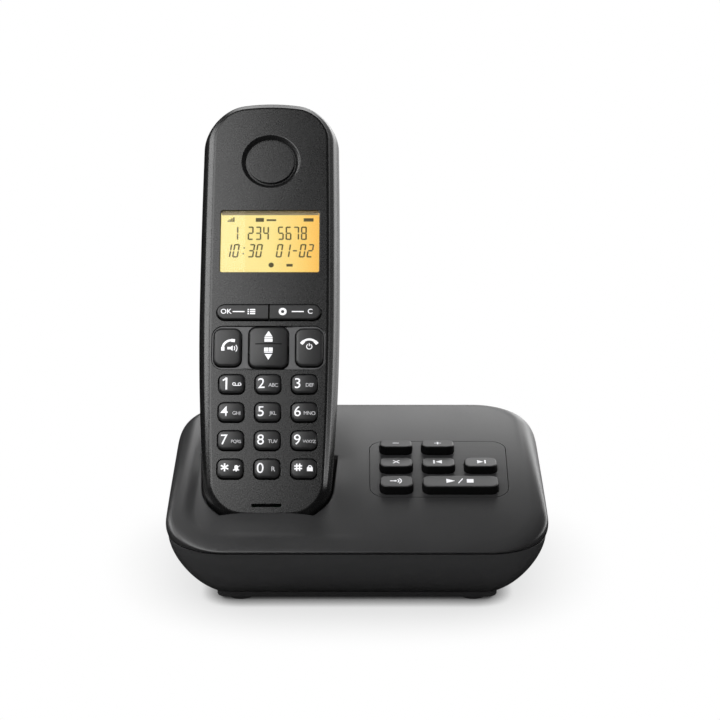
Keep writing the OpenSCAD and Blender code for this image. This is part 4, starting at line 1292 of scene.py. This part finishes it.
def main_sign(name):
    if name == "key_star":
        return [bar(2.9, 0.52, -1.9, 0.3, a) for a in (90, 30, 150)]
    if name == "key_hash":
        return [bar(0.5, 2.7, -1.9 + dx, 0.3) for dx in (-0.5, 0.5)] + [bar(2.7, 0.5, -1.9, 0.3 + dy)
                                                                       for dy in (-0.5, 0.5)]
    if name == "key_1":
        return [bar(0.62, 4.4, -1.8, -0.1), bar(1.6, 0.52, -2.4, 1.55, 39)]
    return [lettering(name[-1], 5.3, -2.3, -0.15, weight=0.01)]


def print_number_keys():
    for name, (x, y) in zip(NUMBER_NAMES, number_key_places()):
        stamp(name + "_digit", name, "handset_keys", PRINT, ON_FACE, NUMBER_TOP, x, y, *main_sign(name))
        ink = PRINT if name in ("key_star", "key_hash", "key_1") else FAINT_PRINT
        stamp(name + "_sign", name, "handset_keys", ink, ON_FACE, NUMBER_TOP, x, y, *side_sign(name))


def print_call_keys():
    talk = [receiver(-0.7, 1.6, 42), bar(0.9, 0.9, 0.35, -0.6), triangle(2.0, 1.3, 1.1, -0.6, 90),
            bow(1.0, 0.3, -45, 45, 1.5, -0.6), bow(1.8, 0.3, -42, 42, 1.5, -0.6)]
    stamp("talk_sign", "talk_key", "handset_keys", PRINT, ON_FACE, CALL_TOP, -CALL_KEY_X, CALL_ROW_AT, *talk)
    end = [receiver(0, 2.7, 0), bow(0.95, 0.3, 120, 420, 0, 0), bar(0.3, 1.1, 0, 0.7)]
    stamp("end_sign", "end_key", "handset_keys", PRINT, ON_FACE, CALL_TOP, CALL_KEY_X, CALL_ROW_AT, *end)
    up = [triangle(2.6, 2.1, 0, 4.9), bar(2.8, 0.5, 0, 3.4), bar(2.8, 1.2, 0, 2.35)]
    down = [bar(1.4, 1.5, -0.78, -1.2), bar(1.4, 1.5, 0.78, -1.2), bar(2.9, 0.3, 0, -2.25),
            triangle(2.6, 2.1, 0, -3.9, 180)]
    stamp("nav_signs", "nav_key", "handset_keys", PRINT, ON_FACE, NAV_TOP, 0, CALL_ROW_AT, *up, *down)
    # A dark bar painted across the nav key stands for the shade inside a groove
    line = bar(9.2, 0.4, 0, 1.0)
    stamp("nav_groove_painted_shade", "nav_key", "handset_keys", KEY_WALL_PAINTED_SHADE, ON_FACE, NAV_TOP, 0, CALL_ROW_AT, line)


def print_soft_keys():
    rows = (0.75, 0, -0.75)
    left = [lettering("OK", 2.6, -15.0, 0, weight=0.03), bar(4.2, 0.4, -10.6, 0)]
    left += [bar(0.5, 0.5, -7.2, y) for y in rows] + [bar(1.8, 0.5, -5.7, y) for y in rows]
    right = [bow(1.0, 0.8, 0, 360, 4.8, 0), bar(4.2, 0.4, 10.1, 0), lettering("C", 2.6, 14.4, 0, weight=0.03)]
    for name, signs in (("softkey_left", left), ("softkey_right", right)):
        stamp(name + "_signs", name, "handset_keys", PRINT, ON_FACE, SOFT_TOP, 0, SOFT_ROW_AT, *signs)


def print_base_keys():
    signs = {
        "volume_down_key": [bar(2.0, 0.45)],
        "volume_up_key": [bar(2.2, 0.45), bar(0.45, 2.2)],
        "delete_key": [bar(2.8, 0.4, 0, 0, 45), bar(2.8, 0.4, 0, 0, -45)],
        "skip_back_key": [bar(0.5, 2.4, -1.4), triangle(2.4, 2.0, 0.1, 0, 90)],
        "skip_forward_key": [bar(0.5, 2.4, 1.4), triangle(2.4, 2.0, -0.1, 0, -90)],
        "paging_key": [bar(1.5, 0.45, -1.3), disc(0.9, -0.4), bow(0.95, 0.35, -60, 60, -0.2),
                       bow(1.7, 0.35, -55, 55, -0.2)],
        "play_stop_key": [triangle(2.5, 2.7, -3.1, 0, -90), bar(0.35, 3.0, 0, 0, -28), bar(2.1, 2.1, 3.0)],
    }
    for name, drawings in signs.items():
        column, row, _ = BASE_KEYS[name]
        for drawing in drawings:
            bmesh.ops.scale(drawing, vec=(1.1, 1.3, 1), verts=drawing.verts)
        x, y = base_key_place(column, row)
        stamp(name + "_sign", name, "base_keys", PRINT, ON_PANEL, wedge(row), x, y, *drawings)


# Segments of a numeral: across at the top, middle and foot, and upright in four places
SEGMENTS = {"0": "tfablr", "1": "ar", "2": "tambf", "3": "tamrf", "4": "lamr", "5": "tlmrf", "6": "tlmrfb",
            "7": "tar", "8": "tlambrf", "9": "tlamrf", "-": "m"}
NUMERAL_W = 2.1
NUMERAL_H = 5.2
SHEET_Z = -WINDOW_SINK - WINDOW_T - 0.02
# Height of the painted shadow strip along the display's top
PAINTED_SHADOW_H = 1.1


def numeral(sign, x, y, slant):
    """One numeral of the display, from thin segments that may lean."""
    w, h, thick, gap = NUMERAL_W, NUMERAL_H, 0.52, 0.08
    across = w - thick - 2 * gap
    tall = h / 2 - thick / 2 - 2 * gap
    where = {"t": (across, thick, 0, h / 2 - thick / 2), "m": (across, thick, 0, 0),
             "f": (across, thick, 0, thick / 2 - h / 2),
             "l": (thick, tall, thick / 2 - w / 2, h / 4), "a": (thick, tall, w / 2 - thick / 2, h / 4),
             "b": (thick, tall, thick / 2 - w / 2, -h / 4), "r": (thick, tall, w / 2 - thick / 2, -h / 4)}
    if sign == ":":
        return [bar(0.5, 0.5, x + slant * dy, y + dy) for dy in (-1.1, 1.1)]
    lean = -math.degrees(math.atan(slant))
    return [bar(bw, bh, x + dx + slant * dy, y + dy, lean if bh > bw else 0)
            for bw, bh, dx, dy in (where[s] for s in SEGMENTS[sign])]


# Signs of the display's two lines: where each starts, its height up the window and its lean
DISPLAY_LINES = (
    ("1", -12.3, 3.6, 0),
    ("234", -6.9, 3.6, 0),
    ("5678", 3.8, 3.6, 0),
    ("10:30", -14.7, -3.2, 0.14),
    ("01-02", 3.4, -3.2, 0.14),
)
NUMERAL_PITCH = 2.72


def make_display_sheet():
    sheet = prism(DISPLAY_W - 0.1, DISPLAY_H - 0.1, WINDOW_R, SHEET_Z - 0.02, SHEET_Z, 0, DISPLAY_AT)
    piece(sheet, "display_sheet", "handset", DISPLAY, ON_FACE)
    shapes = []
    for signs, start, y, slant in DISPLAY_LINES:
        for i, sign in enumerate(signs):
            shapes += numeral(sign, start + i * NUMERAL_PITCH, y, slant)
    shapes += [bar(0.5, 0.6 + 0.4 * i, -14.9 + 0.65 * i, 8.3 + 0.2 * i) for i in range(4)]
    shapes += [bar(2.9, 1.5, -3.7, 8.8), bar(3.4, 0.7, 0.4, 8.7), bar(3.5, 1.3, 13.6, 8.8)]
    shapes += [disc(1.9, 0.5, -8.7), bar(2.2, 1.0, 7.0, -8.8)]
    # A brown strip painted along the display's top stands for the shadow of the window frame's upper edge
    painted_shadow_strip = bar(DISPLAY_W - 0.5, PAINTED_SHADOW_H, 0, (DISPLAY_H - PAINTED_SHADOW_H) / 2 - 0.06)
    for name, ink, drawings in (("display_marks", SEGMENT_INK, shapes), ("painted_window_shadow", PAINTED_SHADOW_INK, [painted_shadow_strip])):
        stamp(name, "handset", "display", ink, ON_FACE, lambda x, y: SHEET_Z, 0, DISPLAY_AT, *drawings)


def print_face():
    print_number_keys()
    print_call_keys()
    print_soft_keys()
    print_base_keys()
    make_display_sheet()


# The CAD pieces that keep their shape
def dress_packed_nodes():
    finishes = {
        "base_circuit_board": BOARD,
        "handset_circuit_board": BOARD,
        "base_key_mat": MAT_RUBBER,
        "keypad_mat": MAT_RUBBER,
        "lcd_panel": DISPLAY,
        "backlight_plate": GUIDE,
        "base_loudspeaker": SPEAKER_METAL,
        "ringer_loudspeaker": SPEAKER_METAL,
        "earpiece_receiver": SPEAKER_METAL,
        "microphone": SPEAKER_METAL,
        "battery_cells": CELL_FILM,
        "battery_contacts": CONTACT_METAL,
    }
    for node, material in finishes.items():
        mesh = frame["nodes"][node].data
        mesh.materials.clear()
        mesh.materials.append(material)


def make_small_pieces():
    softened("button_panel", "panel", "base", COVER_PLASTIC, 0)
    softened("rubber_feet", "feet", "base", RUBBER, 0.35)
    softened("base_screws", "case_screws", "base", STEEL, 0.12, 2)
    softened("charging_contacts", "cradle_contacts", "base", CONTACT_METAL, 0.06, 2)
    softened("line_socket", "line_jack", "base", SOCKET_PLASTIC, 0.15, 2)
    softened("power_socket", "power_jack", "base", SOCKET_PLASTIC, 0.15, 2)
    softened("earpiece_disc", "earpiece", "handset", CASE_PLASTIC, 0.15, 2)
    softened("handset_charge_pads", "charge_pads", "handset", CONTACT_METAL, 0.1, 2)


# Floor, light and camera
def painted_shadow_near(tree, distance, low, high, darkest):
    """How open the floor is within a distance, from darkest where it is covered to 1; it paints the floor's
    shadow.
    """
    openness = add(tree, "AmbientOcclusion", "AO", {"Distance": distance}, samples=24)
    return ramp(tree, openness, low, high, darkest)


def floor_finish():
    """White to the camera, with a painted shadow close under the base and a faint one round it, where its
    glow dims.
    """
    material = bpy.data.materials.new("pale_floor")
    material.use_nodes = True
    tree = material.node_tree
    dull = tree.nodes["Principled BSDF"]
    look = {"Base Color": (0.8, 0.8, 0.8, 1), "Roughness": 0.9, "Specular IOR Level": 0}
    for socket, value in look.items():
        feed(tree, dull.inputs[socket], value)
    close = painted_shadow_near(tree, 0.008, 0.1, 0.58, 0.05)
    around = painted_shadow_near(tree, 0.042, 0.3, 0.85, 0.76)
    place = object_place(tree)
    right = ramp(tree, axis_of(tree, place, "X"), -0.02, 0.1)
    behind = ramp(tree, axis_of(tree, place, "Y"), 0.05, 0.2)
    camera = add(tree, "LightPath", "Is Camera Ray", {})
    shown = maths(tree, "MAXIMUM", camera, maths(tree, "MULTIPLY", right, behind))
    strength = maths(tree, "MULTIPLY", maths(tree, "MULTIPLY", close, around), shown)
    glow = add(tree, "Emission", "Emission", {"Strength": strength})
    seen = maths(tree, "MAXIMUM", camera, camera.node.outputs["Is Glossy Ray"])
    mixed = add(tree, "MixShader", "Shader", {"Fac": seen, 1: dull.outputs["BSDF"], 2: glow})
    feed(tree, tree.nodes["Material Output"].inputs["Surface"], mixed)
    return material


def make_floor():
    bm = bmesh.new()
    bmesh.ops.create_grid(bm, x_segments=4, y_segments=4, size=3)
    mesh = bpy.data.meshes.new("floor")
    bm.to_mesh(mesh)
    bm.free()
    mesh.materials.append(floor_finish())
    floor = bpy.data.objects.new("floor", mesh)
    bpy.context.scene.collection.objects.link(floor)


# Studio: its light on dull surfaces, and the pale wall behind the phone that only reflections see
WHITE = (1, 1, 1, 1)
ROOM_LIGHT = 0.9
WALL_HEADING = (0.5, 0.866, 0)
WALL_LEFT = 1.9
WALL_RIGHT = 3.7


def wall_strength(tree):
    """The wall stands ahead and to the right, fades out upwards and is brighter at the right."""
    view = add(tree, "TexCoord", "Generated", {})
    level = add(tree, "VectorMath", "Vector", {0: view, 1: (1, 1, 0)}, operation="MULTIPLY")
    heading = add(tree, "VectorMath", "Vector", {0: level}, operation="NORMALIZE")
    ahead = add(tree, "VectorMath", "Value", {0: heading, 1: WALL_HEADING}, operation="DOT_PRODUCT")
    rise = axis_of(tree, view, "Z")
    turn = axis_of(tree, heading, "X")
    spread = ramp(tree, ahead, 0.6, 0.8, ease="SMOOTHSTEP")
    reach = maths(tree, "MAXIMUM", ramp(tree, turn, -0.03, 0.02), ramp(tree, rise, 0.25, 0.34))
    lowered = maths(tree, "ADD", ramp(tree, turn, 0.1, 0.4, 0, 0.35), rise)
    height = ramp(tree, lowered, 0.42, 0.85, 1, 0)
    open_foot = maths(tree, "MAXIMUM", ramp(tree, rise, 0.14, 0.28), ramp(tree, turn, 0.08, 0.22))
    strength = ramp(tree, turn, 0, 0.14, WALL_LEFT, WALL_RIGHT)
    for share in (spread, reach, height, open_foot):
        strength = maths(tree, "MULTIPLY", strength, share)
    return strength


def make_world():
    """White to the camera; reflections see white low behind the phone and a dark studio elsewhere."""
    world = bpy.data.worlds.new("studio")
    bpy.context.scene.world = world
    world.use_nodes = True
    tree = world.node_tree
    room = add(tree, "Background", "Background", {"Color": WHITE, "Strength": ROOM_LIGHT})
    white = add(tree, "Background", "Background", {"Color": WHITE, "Strength": 1})
    wall = add(tree, "Background", "Background", {"Color": WHITE, "Strength": wall_strength(tree)})
    glossy = add(tree, "LightPath", "Is Glossy Ray", {})
    rays = glossy.node.outputs
    mirror = add(tree, "MixShader", "Shader", {"Fac": glossy, 1: room, 2: wall})
    seen = maths(tree, "MAXIMUM", rays["Is Camera Ray"], rays["Is Transmission Ray"])
    shown = add(tree, "MixShader", "Shader", {"Fac": seen, 1: mirror, 2: white})
    feed(tree, tree.nodes["World Output"].inputs["Surface"], shown)


def soft_box(name, at, toward, width, height, watts, along=(1, 0, 0)):
    data = bpy.data.lights.new(name, "AREA")
    data.shape = "RECTANGLE"
    data.size = width
    data.size_y = height
    data.energy = watts
    lamp = bpy.data.objects.new(name, data)
    bpy.context.scene.collection.objects.link(lamp)
    lamp.location = at
    back = (Vector(at) - Vector(toward)).normalized()
    side = (Vector(along) - back * back.dot(Vector(along))).normalized()
    lamp.rotation_euler = Matrix((side, back.cross(side), back)).transposed().to_euler()


def make_lights():
    """A long box beside the phone at the left, a small one behind it, and one above its face."""
    face = Vector((-0.03, 0.0, 0.1))
    soft_box("left_box", (-0.774, 0.289, 0.475), (-0.04, 0.04, 0.12), 0.8, 0.24, 3.2, (0.66, 0.62, 0.42))
    soft_box("rear_box", (-0.19, 0.754, 0.5), (0.0, -0.01, 0.045), 0.28, 0.36, 0.25)
    soft_box("face_box", face + Vector((-0.115, -0.085, 0.18)), face, 0.22, 0.22, 0.55)


CAMERA_ELEVATION = math.radians(19)
CAMERA_LENS = 145
CAMERA_DEPTH = 972.2
CAMERA_LIFT = 65.2
CAMERA_X = 1.0


def make_camera():
    """The camera looks level with the base's middle, down at its elevation, past the front seam."""
    data = bpy.data.cameras.new("camera")
    data.lens = CAMERA_LENS
    data.sensor_width = 36
    camera = bpy.data.objects.new("camera", data)
    bpy.context.scene.collection.objects.link(camera)
    ahead = Vector((0, math.cos(CAMERA_ELEVATION), -math.sin(CAMERA_ELEVATION)))
    up = Vector((0, math.sin(CAMERA_ELEVATION), math.cos(CAMERA_ELEVATION)))
    seam = IN_BASE @ Vector((CAMERA_X, -BASE_D / 2, SEAM_Z))
    camera.location = seam - ahead * CAMERA_DEPTH * MM + up * CAMERA_LIFT * MM
    camera.rotation_euler = (math.pi / 2 - CAMERA_ELEVATION, 0, 0)
    data.clip_start = 0.01
    bpy.context.scene.camera = camera


make_camera()
make_floor()
make_world()
make_lights()
make_cover()
make_hull()
make_front_shell()
make_call_plate()
make_window()
make_rear_shell()
make_battery_door()
make_number_keys()
make_call_keys()
make_nav_key()
make_soft_keys()
make_base_keys()
make_small_pieces()
dress_packed_nodes()
print_face()

bpy.context.scene.view_settings.view_transform = "Standard"
